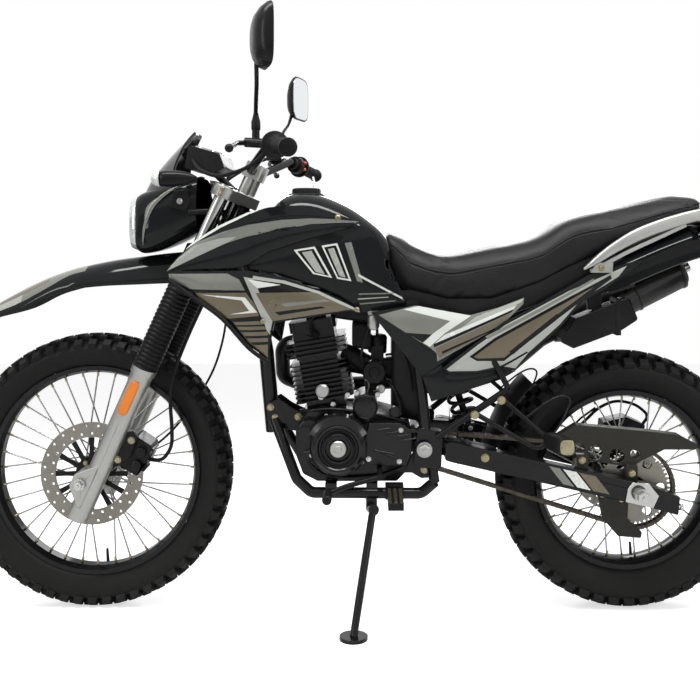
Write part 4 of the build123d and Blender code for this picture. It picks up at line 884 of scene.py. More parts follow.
class BIKE_OT_cockpit(bpy.types.Operator):
    """Finish the handlebar, grips, controls, dials and mirrors."""
    bl_idname = "bike.cockpit"
    bl_label = "Cockpit"

    def execute(self, context):
        dressed("handlebar", "frame_black", "matte_black", angle=50)
        dressed("bar_controls", "satin_black", "matte_black", 0.8, 40)
        grips, extras = Form(), Form()
        for side in SIDES:
            end, way = bar_end(side)
            profile = [(0.1, -5), (15, -5), (19.5, -3.5), (19.5, 4), (16.2, 6)]
            for k in range(60):
                profile.append((15.4 + 1.6 * (0.5 + 0.5 * math.cos(2 * math.pi * k / 5)), 8 + 98 * k / 59))
            profile += [(16.5, 110), (20, 114), (30.5, 117), (31, 123.5), (17, 124), (0.1, 124)]
            grips.spin(profile, end, way, 40)
            hub = end + way * 142
            up = Vector((0, 0, 1))
            back = Vector((1, 0, 0))
            extras.spin([(17, 0), (24.5, 1), (25, 14), (24.5, 28), (17, 29)], end + way * 127, way, 28, 0)
            extras.spin([(6, 0), (6, 6), (4, 7)], hub + back * 22 + up * 6, back, 14, 1 if side > 0 else 2)
            extras.spin([(4.5, 0), (4.5, 7), (3, 8)], hub + back * 20 - up * 12, back, 14,
                        1 if side < 0 else 3)
            extras.spin([(9, 0), (10.5, 4), (10.5, 20), (7.5, 30), (5.4, 40)],
                        Vector((-232, 226 * side, 1178)), (0, 0, 1), 18, 0)
        piece("handlebar_grips", grips, ["rubber"], "front_end", ("grips",), angle=45)
        piece("bar_switches", extras, ["matte_plastic", "red", "satin_black", "amber"], "front_end",
              bevel=0.4)
        self.mirrors()
        self.dials()
        return {"FINISHED"}

    def mirrors(self):
        form = Form()
        centre_z, centre_y = 1353.5, -372
        rows = []
        # Columns: x, half width, half height, drop of the centre, squareness
        sections = ((-184, 54, 65, 0, 4.2), (-186, 56, 66.5, 0, 4), (-192, 55, 65, 0, 3.6),
                    (-204, 48, 57, 2, 3.2), (-213, 37, 45, 4, 2.8), (-218, 24, 30, 6, 2.4))
        for x, width, height, drop, power in sections:
            rows.append([(x, centre_y + y, centre_z - drop + z) for y, z in oval(width, height, power, 44)])
        form.grid(rows, 0)
        glass = [[(x, centre_y + y, centre_z + z) for y, z in oval(51 * s, 62 * s, 4.2, 44)]
                 for x, s in ((-184.4, 1), (-183.2, 0.99), (-182.4, 0.5), (-182.2, 0.02))]
        form.grid(glass, 1)
        swing = Matrix.Translation((-205, centre_y, 0)) @ Matrix.Rotation(math.radians(20), 4, "Z")
        swing = swing @ Matrix.Translation((205, -centre_y, 0))
        form.points = [swing @ point for point in form.points]
        stem = smooth_rows([(-232, -226, 1196), (-232, -228, 1214), (-226, -262, 1240), (-217, -312, 1268),
                            (-212, -348, 1304), (-208, -366, 1330)], 6)
        form.tube(stem, 5, 12, 0)
        form.spin([(8, 0), (11, 5), (11, 12), (6, 20)], (-207, -364, 1318), (0.05, 0.25, -1), 16, 0)
        piece("mirrors_finished", form.mirrored(), ["satin_black", "mirror"], "front_end",
              ("mirrors",), angle=40)

    def dials(self):
        dressed("instrument", "matte_plastic", "matte_black", 1.5, 30)
        face = Form()
        normal = Vector((21, 0, 75)).normalized()
        slope = Vector((75, 0, -21)).normalized()
        ticks = []
        for y, radius in ((-32, 34), (38, 24)):
            centre = Vector((-383, y, 1153))
            face.spin([(radius + 3.5, 0), (radius + 3, 3.5), (radius, 3.5), (radius, 1)], centre, normal,
                      48, 1)
            face.spin([(radius, 0.8), (0.1, 0.8)], centre, normal, 48, 0)
            hand = centre + normal * 2 + (slope * 0.3 + ACROSS * 0.9) * radius * 0.7
            face.tube([centre + normal * 2, hand], [1.6, 0.5], 6, 2)
            face.spin([(4, 1), (4, 3), (2.5, 4)], centre, normal, 16, 1)
            for k in range(25):
                angle = math.radians(-135 + 270 * k / 24)
                way = ACROSS * math.sin(angle) - slope * math.cos(angle)
                long = 1.6 if k % 4 == 0 else 1.0
                ticks.append((centre + normal * 1.0 + way * (radius - 3.5), normal, way,
                              (3 * long, 0.9, 0.5)))
        piece("dial_faces", face, ["satin_black", "bright_steel", "red"], "front_end",
              angle=40)
        tick = Form().box((-0.5, -0.5, 0), (0.5, 0.5, 1))
        repeated("dial_ticks", tick, ticks, "dial_white", "front_end")


class BIKE_OT_headlight(bpy.types.Operator):
    """Model the headlight cowl, its lens, lamp, screen and indicators."""
    bl_idname = "bike.headlight"
    bl_label = "Headlight"

    def execute(self, context):
        cowl = Form()
        table = [(-556, 66, 899, 1042), (-540, 76, 894, 1050), (-500, 85, 902, 1063), (-455, 89, 920, 1076),
                 (-400, 91, 950, 1089)]
        outer = body_rows(table, 5, 3.6, 56)
        inner = [[(x + 1, y * 0.955, z + (1000 - z) * 0.04) for x, y, z in row] for row in outer][::-1]
        cowl.grid(outer + inner, 0, loop=True)
        lift = Form()
        arc = smooth_rows([(-532, -79.5, 915), (-528, -81, 960), (-508, -86.5, 1010), (-470, -88.5, 1046),
                           (-440, -85, 1062)], 6)
        wide = [1, 4, 6, 5, 2]
        rows = []
        for i, (x, y, z) in enumerate(arc):
            half = table_at([(k * 6, w) for k, w in enumerate(wide)], i)
            rows.append([(x - half * 0.8, y - 0.6, z + half * 0.3), (x, y - 2.2, z),
                         (x + half * 0.8, y - 0.6, z - half * 0.3), (x, y + 3, z)])
        lift.grid(rows)
        piece("headlight_cowl_finished", cowl, ["gloss_black"], "front_end",
              ("headlight_cowl",), angle=50)
        piece("headlight_stripe", lift.mirrored(), ["stripe_grey"], "front_end", angle=50)
        ears = Form()
        for side in SIDES:
            ears.tube([(-418, side * 88, 996), (-362, side * 84, 1000)], 8, 14)
            ears.plate([(-462, 1010), (-424, 1000), (-412, 1020), (-420, 1052), (-452, 1050)], side * 86,
                       side * 94)
        piece("headlight_ears", ears, ["satin_black"], "front_end", bevel=1.2)
        bolts("cowl_bolts", both((-438, 94, 1024, 6)), "bright_steel", "front_end")
        lens = Form()
        shell = body_rows([(-552, 66, 908, 1040), (-564, 64, 911, 1036), (-573, 55, 924, 1024),
                           (-579, 36, 948, 1006), (-581, 4, 972, 984)], 4, 3.2, 56)
        lens.grid(shell)
        piece("headlight_glass", lens, ["clear"], "front_end", ("headlight_lens",), angle=60)
        bezel = Form()
        ring = [[(x, y * s, 970 + (z + 1) * s) for y, z in oval(67, 70, 3.4, 56)]
                for x, s in ((-553, 1.0), (-563, 0.985), (-571, 0.93), (-570, 0.87), (-553, 0.92))]
        bezel.grid(ring, loop=True)
        piece("headlight_bezel", bezel, ["lens"], "front_end", angle=60)
        lamp = Form()
        lamp.grid(body_rows([(-551, 63, 912, 1036), (-538, 54, 922, 1026), (-525, 36, 940, 1008),
                             (-519, 12, 962, 988)], 4, 3.0, 48), caps=False)
        lamp.spin([(0.1, -34), (8, -32), (10, -24), (10, 0)], (-519, 0, 975), (1, 0, 0), 20, 1)
        piece("headlight_reflector", lamp, ["mirror", "dial_white"], "front_end", angle=50)
        screen = Form()
        front, back = [], []
        outline = [(-551, 1044, 66, 0.017), (-535, 1076, 76, 0.013), (-512, 1106, 78, 0.009),
                   (-466, 1157, 62, 0.0065), (-420, 1200, 34, 0.004)]
        for x, z, half, wrap in smooth_rows(outline, 6):
            ys = [half * (-1 + k / 10) for k in range(21)]
            front.append([(x + wrap * y * y, y, z - 0.0012 * y * y) for y in ys])
            back.append([(a + 3.2, y * 0.985, c - 2.4) for a, y, c in front[-1]])
        screen.grid([f + b[::-1] for f, b in zip(front, back)])
        piece("windscreen_finished", screen, ["smoke"], "front_end", ("windscreen",), angle=50)
        rim = Form()
        left = [row[0] for row in front]
        right = [row[-1] for row in front]
        rim.tube(left + front[-1][1:-1] + right[::-1], 2.2, 8)
        piece("windscreen_rim", rim, ["matte_plastic"], "front_end", angle=60)
        self.indicators()
        return {"FINISHED"}

    def indicators(self):
        form = Form()
        profile = [(0.1, -34), (15, -34), (18.6, -31), (19, -20), (18.8, 4), (16, 24), (10, 40), (4, 50),
                   (0.1, 52)]
        form.spin(profile, (-429, -172, 1074), (1, 0.06, 0.02), 28, 0)
        form.spin([(18.9, -34.2), (17.5, -43), (13, -50), (6, -54), (0.1, -55)], (-429, -172, 1074),
                  (1, 0.06, 0.02), 28, 1)
        form.tube([(-424, -86, 1072), (-424, -120, 1072), (-424, -162, 1073)], [8, 7, 9], 14, 0)
        piece("front_indicators_finished", form.mirrored(), ["satin_black", "stripe_pale"], "front_end",
              ("front_indicators",), angle=50)


class BIKE_OT_fender(bpy.types.Operator):
    """Model the high front fender."""
    bl_idname = "bike.fender"
    bl_label = "Front fender"

    def execute(self, context):
        # Columns: x, half width, edge height, top height, share of the height where the silver starts
        table = [(-970, 14, 726, 731, 0.28), (-966, 26, 724, 736, 0.28), (-957, 37, 725, 744, 0.28),
                 (-936, 46, 731, 760, 0.28), (-858, 58, 752, 803, 0.3), (-790, 63, 786, 834, 0.34),
                 (-735, 65, 803, 853, 0.66), (-700, 66, 812, 862, 0.72), (-630, 65, 819, 876, 0.78),
                 (-557, 62, 822, 886, 0.9), (-500, 55, 824, 893, 0.995), (-436, 46, 826, 899, 0.995),
                 (-412, 44, 831, 903, 0.995)]
        form = Form()
        lines = []
        for x, half, edge, top, share in smooth_rows(table, 5):
            heights = [share * k / 6 for k in range(7)] + [share + (1 - share) * k / 6 for k in range(1, 7)]
            line = []
            for side in SIDES:
                run = [(x, side * half * math.sqrt(max(1 - h ** 1.7, 0)), edge + (top - edge) * h)
                       for h in heights]
                line += run if side < 0 else run[-2::-1]
            lines.append(line)
        inner = [[(x + 0.5, y * 0.94, z - 4) for x, y, z in line] for line in lines]
        rows = [line + back[::-1] for line, back in zip(lines, inner)]
        form.grid(rows)
        # A line runs over 25 points from the left edge to the right; 6 to 18 lie above the silver's start
        width = len(rows[0])
        for number in range((len(rows) - 1) * width):
            column = number % width
            if 6 <= column < 18:
                x = rows[number // width][0][0]
                form.marks[number] = 1 if x < -845 else 2 if x < -690 else 0
                if 9 <= column < 15 and x < -780:
                    form.marks[number] = 3
        piece("front_fender_finished", form, PAINTS[:4], "front_end",
              ("front_fender",), angle=60)
        return {"FINISHED"}


# Bodywork

# Columns: x, half width, bottom, top
TANK_TABLE = [(-262, 40, 880, 950), (-252, 60, 862, 968), (-192, 92, 826, 1036), (-118, 106, 806, 1046),
              (-30, 104, 800, 1014), (40, 92, 806, 966), (70, 78, 818, 934), (76, 60, 830, 914)]
# Plans give the Y of a panel's edge at X; outlines are (x, z), seen from the left
SIDE_PLAN = [(-470, -166), (-330, -152), (-260, -141), (-200, -128), (-100, -112), (0, -106), (130, -100)]
SHROUD_PLAN = [(-470, -172), (-330, -158), (-260, -150), (-200, -139), (-100, -124), (40, -112)]
WING = [(-450, 858), (-420, 896), (-385, 930), (-325, 967), (-264, 996), (-216, 1008), (-168, 1013),
        (-118, 1010), (-60, 994), (4, 972), (-60, 971), (-118, 968), (-185, 961), (-264, 939), (-314, 923),
        (-378, 893)]
WING_LOWER = [(-446, 859), (-378, 892), (-314, 922), (-264, 938), (-185, 960), (-118, 967), (-60, 970),
              (2, 971), (-34, 957), (-118, 935), (-218, 902), (-263, 873), (-300, 863)]
TANK_SIDE = [(-262, 872), (-217, 901), (-118, 934), (-34, 956), (4, 966), (34, 952), (46, 930), (71, 857),
             (104, 787), (116, 776), (12, 754), (-50, 793), (-117, 821), (-182, 845), (-261, 861)]
SHROUD = [(-446, 858), (-304, 858), (-261, 858), (-182, 842), (-117, 818), (-50, 790), (8, 754), (-27, 759),
          (-117, 745), (-209, 733), (-211, 700), (-217, 648), (-261, 682), (-319, 748), (-374, 792),
          (-400, 818), (-442, 840)]
# Finish numbers of the stripes: 1 silver, 2 grey, 3 sand, 4 pale, 0 gloss black
# On the wing, the grey band over the lower half is a painted highlight and the pale band along the top edge
# is a painted reflection; the silver at the front tip is a stripe.
WING_STRIPES_AND_HIGHLIGHTS = [(2,
                 [(-460, 850), (-420, 892), (-385, 924), (-320, 950), (-264, 966), (-185, 978), (-118, 982),
                  (-60, 980), (6, 974), (-60, 969), (-118, 966), (-185, 959), (-264, 937), (-314, 921),
                  (-378, 891)]),
                (1,
                 [(-460, 850), (-420, 890), (-385, 918), (-330, 934), (-290, 938), (-314, 921),
                  (-378, 891)]),
                (4,
                 [(-420, 899), (-385, 933), (-325, 970), (-264, 999), (-216, 1010), (-264, 990),
                  (-325, 960), (-385, 924)])]
SIDE_STRIPES = [(4, [(-158, 906), (-108, 914), (-66, 838), (-112, 848)]),
                (0, [(-150, 903), (-111, 909), (-74, 843), (-109, 851)]),
                (1, [(-139, 900), (-116, 904), (-84, 847), (-106, 853)]),
                (4, [(-92, 916), (-54, 922), (-20, 830), (-54, 836)]),
                (0, [(-86, 912), (-57, 917), (-26, 835), (-52, 840)]),
                (1, [(-77, 908), (-62, 911), (-34, 839), (-49, 843)]),
                (2, [(-36, 922), (-20, 925), (8, 826), (-6, 830)]),
                (4, [(-4, 848), (104, 790), (108, 783), (-2, 841)]),
                (2, [(-2, 800), (84, 802), (84, 799), (-2, 797)]),
                (1, [(-4, 788), (70, 792), (70, 790), (-4, 785)]),
                (2, [(0, 776), (88, 783), (88, 781), (0, 773)])]
SHROUD_STRIPES = [(2, [(-450, 852), (-310, 852), (-282, 838), (-268, 812), (-396, 816), (-446, 838)]),
                  (3, [(-384, 807), (-266, 807), (-246, 780), (-236, 752), (-312, 746), (-372, 790)]),
                  (4, [(-370, 803), (-268, 796), (-240, 760), (-306, 756), (-258, 764), (-276, 789)]),
                  (3, [(-296, 738), (-236, 740), (-216, 716), (-217, 652), (-262, 690)]),
                  (0, [(-292, 731), (-226, 731), (-226, 727), (-288, 727)]),
                  (0, [(-282, 719), (-220, 719), (-220, 714), (-278, 714)]),
                  (0, [(-270, 705), (-216, 705), (-216, 699), (-266, 699)]),
                  (0, [(-256, 690), (-216, 690), (-216, 683), (-250, 683)]),
                  (1,
                   [(-272, 844), (-250, 840), (-222, 778), (-206, 738), (-212, 706), (-218, 716),
                    (-228, 742), (-246, 784)]),
                  (3, [(-244, 806), (-112, 806), (-60, 784), (-20, 763), (-118, 750), (-206, 738)]),
                  (0, [(-200, 760), (-92, 772), (-80, 768), (-190, 752)]),
                  (2, [(-186, 780), (-84, 788), (-70, 784), (-176, 772)]),
                  (4, [(-262, 838), (-186, 824), (-240, 817)]),
                  (1,
                   [(-250, 846), (-178, 834), (-98, 808), (4, 760), (-2, 756), (-100, 802), (-180, 827),
                    (-252, 838)])]
SIDE_PANEL = [(28, 756), (60, 762), (132, 773), (200, 764), (263, 750), (330, 768), (394, 792), (392, 777),
              (344, 730), (272, 686), (228, 663), (199, 637), (186, 628), (150, 604), (54, 722)]
PANEL_STRIPES = [(2,
                  [(46, 750), (132, 773), (263, 750), (394, 794), (392, 777), (344, 728), (186, 640),
                   (184, 660), (170, 672), (109, 710)]), (0, [(110, 709), (172, 705), (150, 686)]),
                 (4,
                  [(106, 764), (141, 772), (266, 749), (204, 709), (168, 676), (152, 685), (176, 708),
                   (217, 737)]),
                 (1, [(212, 700), (256, 730), (276, 746), (392, 790), (388, 782), (280, 732)]),
                 (4, [(202, 704), (376, 775), (368, 765), (180, 684)]),
                 (0, [(176, 682), (368, 765), (364, 758), (178, 674)]),
                 (3, [(180, 672), (362, 756), (344, 730), (272, 688), (190, 648)]),
                 (0, [(196, 664), (330, 722), (326, 717), (198, 658)])]
TAIL_WING = [(199, 625), (272, 680), (347, 735), (408, 766), (494, 815), (548, 846), (642, 874), (686, 884),
             (668, 868), (624, 840), (590, 814), (536, 784), (480, 722), (405, 655), (373, 619), (336, 624),
             (280, 612), (211, 611)]
TAIL_STRIPES = [(1,
                 [(208, 622), (272, 672), (347, 727), (500, 808), (640, 868), (620, 842), (530, 788),
                  (478, 728), (404, 662), (372, 624), (336, 630), (280, 618), (214, 617)]),
                (0,
                 [(262, 652), (322, 697), (486, 786), (600, 846), (604, 838), (484, 750), (344, 642),
                  (280, 642)]),
                (3, [(272, 652), (324, 690), (486, 778), (560, 818), (484, 762), (344, 650), (282, 648)]),
                (0, [(356, 664), (470, 754), (480, 750), (366, 658)]),
                (2, [(300, 700), (420, 762), (560, 838), (560, 832), (424, 756), (306, 694)]),
                (0, [(336, 630), (398, 664), (404, 662), (340, 626)])]
PANEL_PLAN = [(20, -116), (150, -124), (320, -126), (520, -121), (690, -116)]
SEAT_BASE = [(50, 752), (96, 806), (130, 806), (215, 786), (320, 788), (432, 826), (505, 864), (600, 904),
             (640, 884), (560, 840), (494, 800), (400, 764), (330, 746), (262, 732), (200, 744), (132, 752)]
SEAT_BASE_PLAN = [(50, -88), (150, -88), (250, -104), (400, -110), (640, -102)]
RACK_HALF = 117
FIN = [(196, 632), (150, 604), (172, 543), (339, 597), (374, 617), (336, 622), (280, 610), (211, 609)]


class BIKE_OT_tank(bpy.types.Operator):
    """Model the fuel tank, its cap, wings and shrouds."""
    bl_idname = "bike.tank"
    bl_label = "Tank and shrouds"

    def execute(self, context):
        tank = Form().grid(body_rows(TANK_TABLE, 6, 3.0, 64))
        piece("fuel_tank_finished", tank, ["gloss_black"], "frame", ("fuel_tank",), angle=60)
        # The wing's grey band and pale top-edge band are painted highlight and painted reflection.
        wing = painted_panel(WING, WING_STRIPES_AND_HIGHLIGHTS, SIDE_PLAN, 12, 26)
        piece("wings_finished", wing.mirrored(), PAINTS, "frame", ("wings",), angle=50)
        lower = painted_panel(WING_LOWER, [], SIDE_PLAN, 9, 20)
        side = painted_panel(TANK_SIDE, SIDE_STRIPES, [(x, y + 7) for x, y in SIDE_PLAN], 6, 30)
        shroud = painted_panel(SHROUD, SHROUD_STRIPES, SHROUD_PLAN, 9, 18)
        lower.join(side).join(shroud)
        piece("shrouds_finished", lower.mirrored(), PAINTS, "frame", ("shrouds",), angle=50)
        vents = Form()
        line = smooth_rows([(-444, -176, 838), (-374, -168, 788), (-318, -163, 744), (-260, -158, 678),
                            (-217, -150, 644)], 6)
        vents.tube(line, 5, 10)
        piece("shroud_edges", vents.mirrored(), ["matte_plastic"], "frame", angle=60)
        bolts("shroud_bolts", both((-52, 118, 984, 6), (-226, 158, 740, 5), (-6, 124, 764, 5)), "zinc",
              "frame")
        cap = Form()
        rows = []
        for z, radius, depth in ((1041.4, 35, 0.0), (1043, 37, 0.5), (1054, 37, 2.6), (1058.5, 35.5, 2.4),
                                 (1060, 32, 1.0), (1060.2, 20, 0)):
            row = []
            for angle in circle(96):
                r = radius - depth * max(0, math.cos(12 * angle)) ** 2
                row.append((-137 + r * math.cos(angle), r * math.sin(angle), z))
            rows.append(row)
        cap.grid(rows)
        cap.tube([(-118, 0, 1059), (-116, 2, 1072), (-121, 4, 1090)], 2.6, 8, 1)
        piece("fuel_cap_finished", cap, ["matte_plastic", "dial_white"], "frame",
              ("fuel_cap",), angle=40)
        seat_ring = Form().spin([(37.5, 1039), (46, 1038), (46, 1044), (44, 1046), (37.5, 1046)],
                                (-137, 0, 0), (0, 0, 1), 48, loop=True)
        piece("fuel_neck", seat_ring, ["satin_black"], "frame", bevel=0.5)
        return {"FINISHED"}


# Columns: x, half width, bottom, top
SEAT_TABLE = [(70, 46, 846, 938), (77, 60, 822, 949), (106, 72, 792, 930), (140, 80, 772, 906),
              (215, 96, 748, 885), (320, 111, 755, 904), (432, 117, 795, 928), (505, 117, 837, 970),
              (560, 115, 866, 987), (620, 113, 890, 999), (760, 106, 948, 1030), (812, 98, 974, 1038),
              (834, 88, 984, 1038), (841, 70, 994, 1032)]


class BIKE_OT_seat(bpy.types.Operator):
    """Model the padded seat by a cloth simulation, then its piping and stitches."""
    bl_idname = "bike.seat"
    bl_label = "Seat"

    def execute(self, context):
        settings = context.scene.bike_seat
        form = Form().grid(body_rows(SEAT_TABLE, 5, 3.1, 60, 4.0))
        mesh = bpy.data.meshes.new("seat_pad")
        mesh.from_pydata([UPRIGHT @ point for point in form.points], [], form.faces)
        with worked(mesh) as work:
            bmesh.ops.recalc_face_normals(work, faces=work.faces[:])
        pad = bpy.data.objects.new("seat_pad", mesh)
        context.scene.collection.objects.link(pad)
        remesh = pad.modifiers.new("Remesh", "REMESH")
        remesh.mode = "VOXEL"
        remesh.voxel_size = settings.voxel
        graph = context.evaluated_depsgraph_get()
        fine = bpy.data.meshes.new_from_object(pad.evaluated_get(graph))
        pad.modifiers.remove(remesh)
        pad.data = fine
        self.swell(context, pad, settings)
        fine.materials.clear()
        fine.materials.append(FINISHES["seat_vinyl"])
        fine.name = "seat_cover"
        bpy.data.objects.remove(pad)
        cover = settle("seat_cover", fine, "frame", ("seat",), angle=180, subdivide=1)
        self.seams(fine)
        return {"FINISHED"}

    def swell(self, context, pad, settings):
        """Blow the cover up against its own stretch, and hold the base still."""
        start = [vert.co.copy() for vert in pad.data.vertices]
        upright = UPRIGHT.inverted()
        base = pad.vertex_groups.new(name="base")
        rows = smooth_rows(SEAT_TABLE, 5)
        floor = [(row[0], row[2]) for row in rows]
        held = []
        for vert in pad.data.vertices:
            point = upright @ vert.co
            if point.z < table_at(floor, point.x) + 12:
                held.append(vert.index)
        base.add(held, 1.0, "REPLACE")
        cloth = pad.modifiers.new("Cloth", "CLOTH")
        cloth.settings.use_pressure = True
        cloth.settings.uniform_pressure_force = settings.pressure
        cloth.settings.effector_weights.gravity = 0
        cloth.settings.vertex_group_mass = "base"
        cloth.settings.quality = 4
        for number in range(1, settings.frames + 1):
            context.scene.frame_set(number)
        graph = context.evaluated_depsgraph_get()
        moved = [vert.co.copy() for vert in pad.evaluated_get(graph).data.vertices]
        pad.modifiers.remove(cloth)
        context.scene.frame_set(1)
        for vert, old, new in zip(pad.data.vertices, start, moved):
            way = new - old
            if way.length > settings.cap:
                way = way.normalized() * settings.cap
            vert.co = old + way

    def seams(self, cover):
        """Piping along both upper edges, with a row of stitches under it."""
        tree = BVHTree.FromPolygons([vert.co for vert in cover.vertices],
                                    [poly.vertices for poly in cover.polygons])
        upright = UPRIGHT.inverted()
        piping, stitches = Form(), []
        for side in SIDES:
            path, lower = [], []
            for x, half, low, high in smooth_rows(SEAT_TABLE, 6)[6:-4]:
                drop = min(26, (high - low) * 0.26)
                for line, down in ((path, drop), (lower, drop + 9)):
                    spot, normal, _, _ = tree.find_nearest(UPRIGHT @ Vector((x, side * (half + 12),
                            high - down)))
                    line.append((upright @ (spot + normal * 0.0006), normal))
            points = smooth_rows([tuple(point) for point, _ in path], 3)
            piping.tube(points, 2.0, 8)
            track = smooth_rows([tuple(point) + tuple(normal) for point, normal in lower], 4)
            for before, after in zip(track, track[1:]):
                here = Vector(before[:3])
                way = (Vector(after[:3]) - here).normalized()
                stitches.append((here, UPRIGHT.to_3x3().normalized().inverted() @ Vector(before[3:]), way,
                                 (1, 1, 1)))
        piece("seat_piping", piping, ["seat_vinyl"], "frame", angle=60)
        stitch = Form().grid([[(x, 0.55 * w * math.cos(a), 0.5 * w * math.sin(a))
                               for a in (math.pi * k / 3 for k in range(6))]
                              for x, w in ((-2.0, 0.4), (-1.2, 1), (1.2, 1), (2.0, 0.4))])
        repeated("seat_stitches", stitch, stitches, "thread", "frame")


class BIKE_OT_panels(bpy.types.Operator):
    """Model the side panels, tail and grab rail."""
    bl_idname = "bike.panels"
    bl_label = "Side panels and tail"

    def execute(self, context):
        panel = painted_panel(SIDE_PANEL, PANEL_STRIPES, PANEL_PLAN, 9, 24)
        panel.join(painted_panel(TAIL_WING, TAIL_STRIPES, [(x, y - 3) for x, y in PANEL_PLAN], 6, 16))
        panel.join(painted_panel(FIN, [], PANEL_PLAN, 6, 18))
        piece("side_panels_finished", panel.mirrored(), PAINTS, "frame", ("side_panels",),
              angle=50)
        base = painted_panel(SEAT_BASE, [], SEAT_BASE_PLAN, 3, 20, 20)
        piece("seat_base", base.mirrored(), ["matte_plastic"], "frame", angle=50)
        boxes = Form()
        boxes.grid(body_rows([(80, 48, 500, 690), (92, 62, 484, 736), (150, 74, 474, 748),
                              (162, 66, 482, 742)], 3, 5, 40))
        for side in SIDES:
            rows = body_rows([(186, 24, 612, 742), (192, 28, 604, 752), (330, 28, 640, 768),
                              (340, 22, 650, 760)], 3, 6, 32)
            boxes.grid([[(x, y + side * 80, z) for x, y, z in row] for row in rows])
        piece("side_boxes", boxes, ["matte_plastic"], "frame", angle=40)
        guard = Form()
        rows = []
        for k in range(19):
            angle = math.radians(134 + 38 * k / 18)
            out = spoke(angle)
            rows.append([REAR_AXLE + out * (362 - 0.004 * y * y + lift) + Vector((0, y, 0))
                         for lift, ys in ((0, range(-66, 67, 22)), (3, range(66, -67, -22))) for y in ys])
        guard.grid(rows)
        piece("inner_fender", guard, ["matte_plastic"], "frame", angle=50)
        knob = Form().spin([(17, 0), (17, 8), (14, 11), (6, 11)], (352, -118, 630), (0, -1, 0), 28)
        piece("panel_knobs", knob.mirrored(), ["matte_plastic"], "frame", bevel=0.6)
        self.tail()
        self.rail()
        dressed("plate_bracket", "matte_plastic", "matte_black", 0.8)
        dressed("tool_box", "satin_black", "matte_black", 1.5)
        band = Form().box((618, -113.5, 700), (630, -65, 788))
        piece("tool_box_strap", band, ["rubber"], "frame", bevel=0.6)
        bolts("tail_bolts", both((578, 128, 863, 6), (818, 133, 990, 6)), "zinc", "frame")
        return {"FINISHED"}

    def rail(self):
        """Slender grab rails beside the rack, which stays as it is packed."""
        rack = dressed("grab_rail", "matte_plastic", "alloy")
        upright = UPRIGHT.inverted()
        with worked(rack.data) as work:
            outer = [face for face in work.faces
                     if abs((upright @ face.calc_center_median()).y) > RACK_HALF]
            bmesh.ops.delete(work, geom=outer, context="FACES")
        form = Form()
        # Columns: x, z, half height, y
        upper = [(538, 860, 3, -120), (570, 884, 9, -124), (610, 912, 12, -126), (668, 944, 14, -126),
                 (750, 974, 14, -126), (830, 994, 13, -125), (902, 1002, 11, -122), (914, 1000, 4, -116)]
        lower = [(552, 856, 3, -122), (600, 880, 5, -124), (655, 908, 5, -124), (720, 938, 5, -124),
                 (780, 966, 5, -124)]
        for line, depth in ((upper, 8), (lower, 5)):
            rows = []
            for x, z, half, y in smooth_rows(line, 6):
                rows.append([(x - 0.35 * c, y + b, z + c)
                             for b, c in oval(depth * min(1, half / 6), half, 2.6, 20)])
            form.grid(rows)
        form.plate([(552, 852), (604, 852), (606, 876), (566, 876)], -128, -118)
        piece("grab_rails_finished", form.mirrored(), ["alloy"], "frame", angle=50)

    def tail(self):
        # Columns: x, half width, edge height, top height
        table = [(560, 101, 800, 852), (640, 106, 818, 892), (760, 108, 868, 944), (860, 106, 898, 976),
                 (950, 90, 900, 968), (1000, 74, 895, 945), (1020, 66, 892, 934)]
        lines = []
        for x, half, edge, top in smooth_rows(table, 6):
            line = []
            for k in range(25):
                angle = math.pi * k / 24
                c, s = math.cos(angle), math.sin(angle)
                line.append((x, -math.copysign(abs(c) ** 0.75, c) * half, edge + (top - edge) * s ** 0.6))
            lines.append(line)
        inner = [[(x, y * 0.96, z - 3.5) for x, y, z in line] for line in lines]
        form = Form().grid([line + back[::-1] for line, back in zip(lines, inner)])
        piece("tail_finished", form, ["gloss_black"], "frame", ("tail",), angle=50)
        lamp = Form()
        lamp.grid(body_rows([(1020.5, 60, 894, 930), (1034, 58, 896, 929), (1043, 50, 900, 925),
                             (1047, 30, 906, 919)], 4, 3.4, 48), 0)
        for side in SIDES:
            lamp.tube([(1000, side * 58, 889), (1000, side * 104, 887), (1000, side * 142, 884)], [8, 7, 9],
                      14, 1)
            lamp.spin([(0.1, 36), (14, 35), (17.5, 30), (18, 12), (17, -12), (11, -32), (4, -44),
                       (0.1, -46)], (994, side * 152, 884), (1, 0, 0), 28, 1)
            lamp.spin([(17.6, 30.2), (16, 38), (10, 44), (0.1, 46)], (994, side * 152, 884), (1, 0, 0), 28,
                      2)
        piece("rear_lamps_finished", lamp, ["red", "satin_black", "amber"], "frame", ("rear_lamps",),
              angle=50)


# Engine, frame and drive

CRANK = Vector((-51, 0, 430))
STARTER = Vector((14, 0, 525))
CLUTCH = Vector((-18, 0, 412))


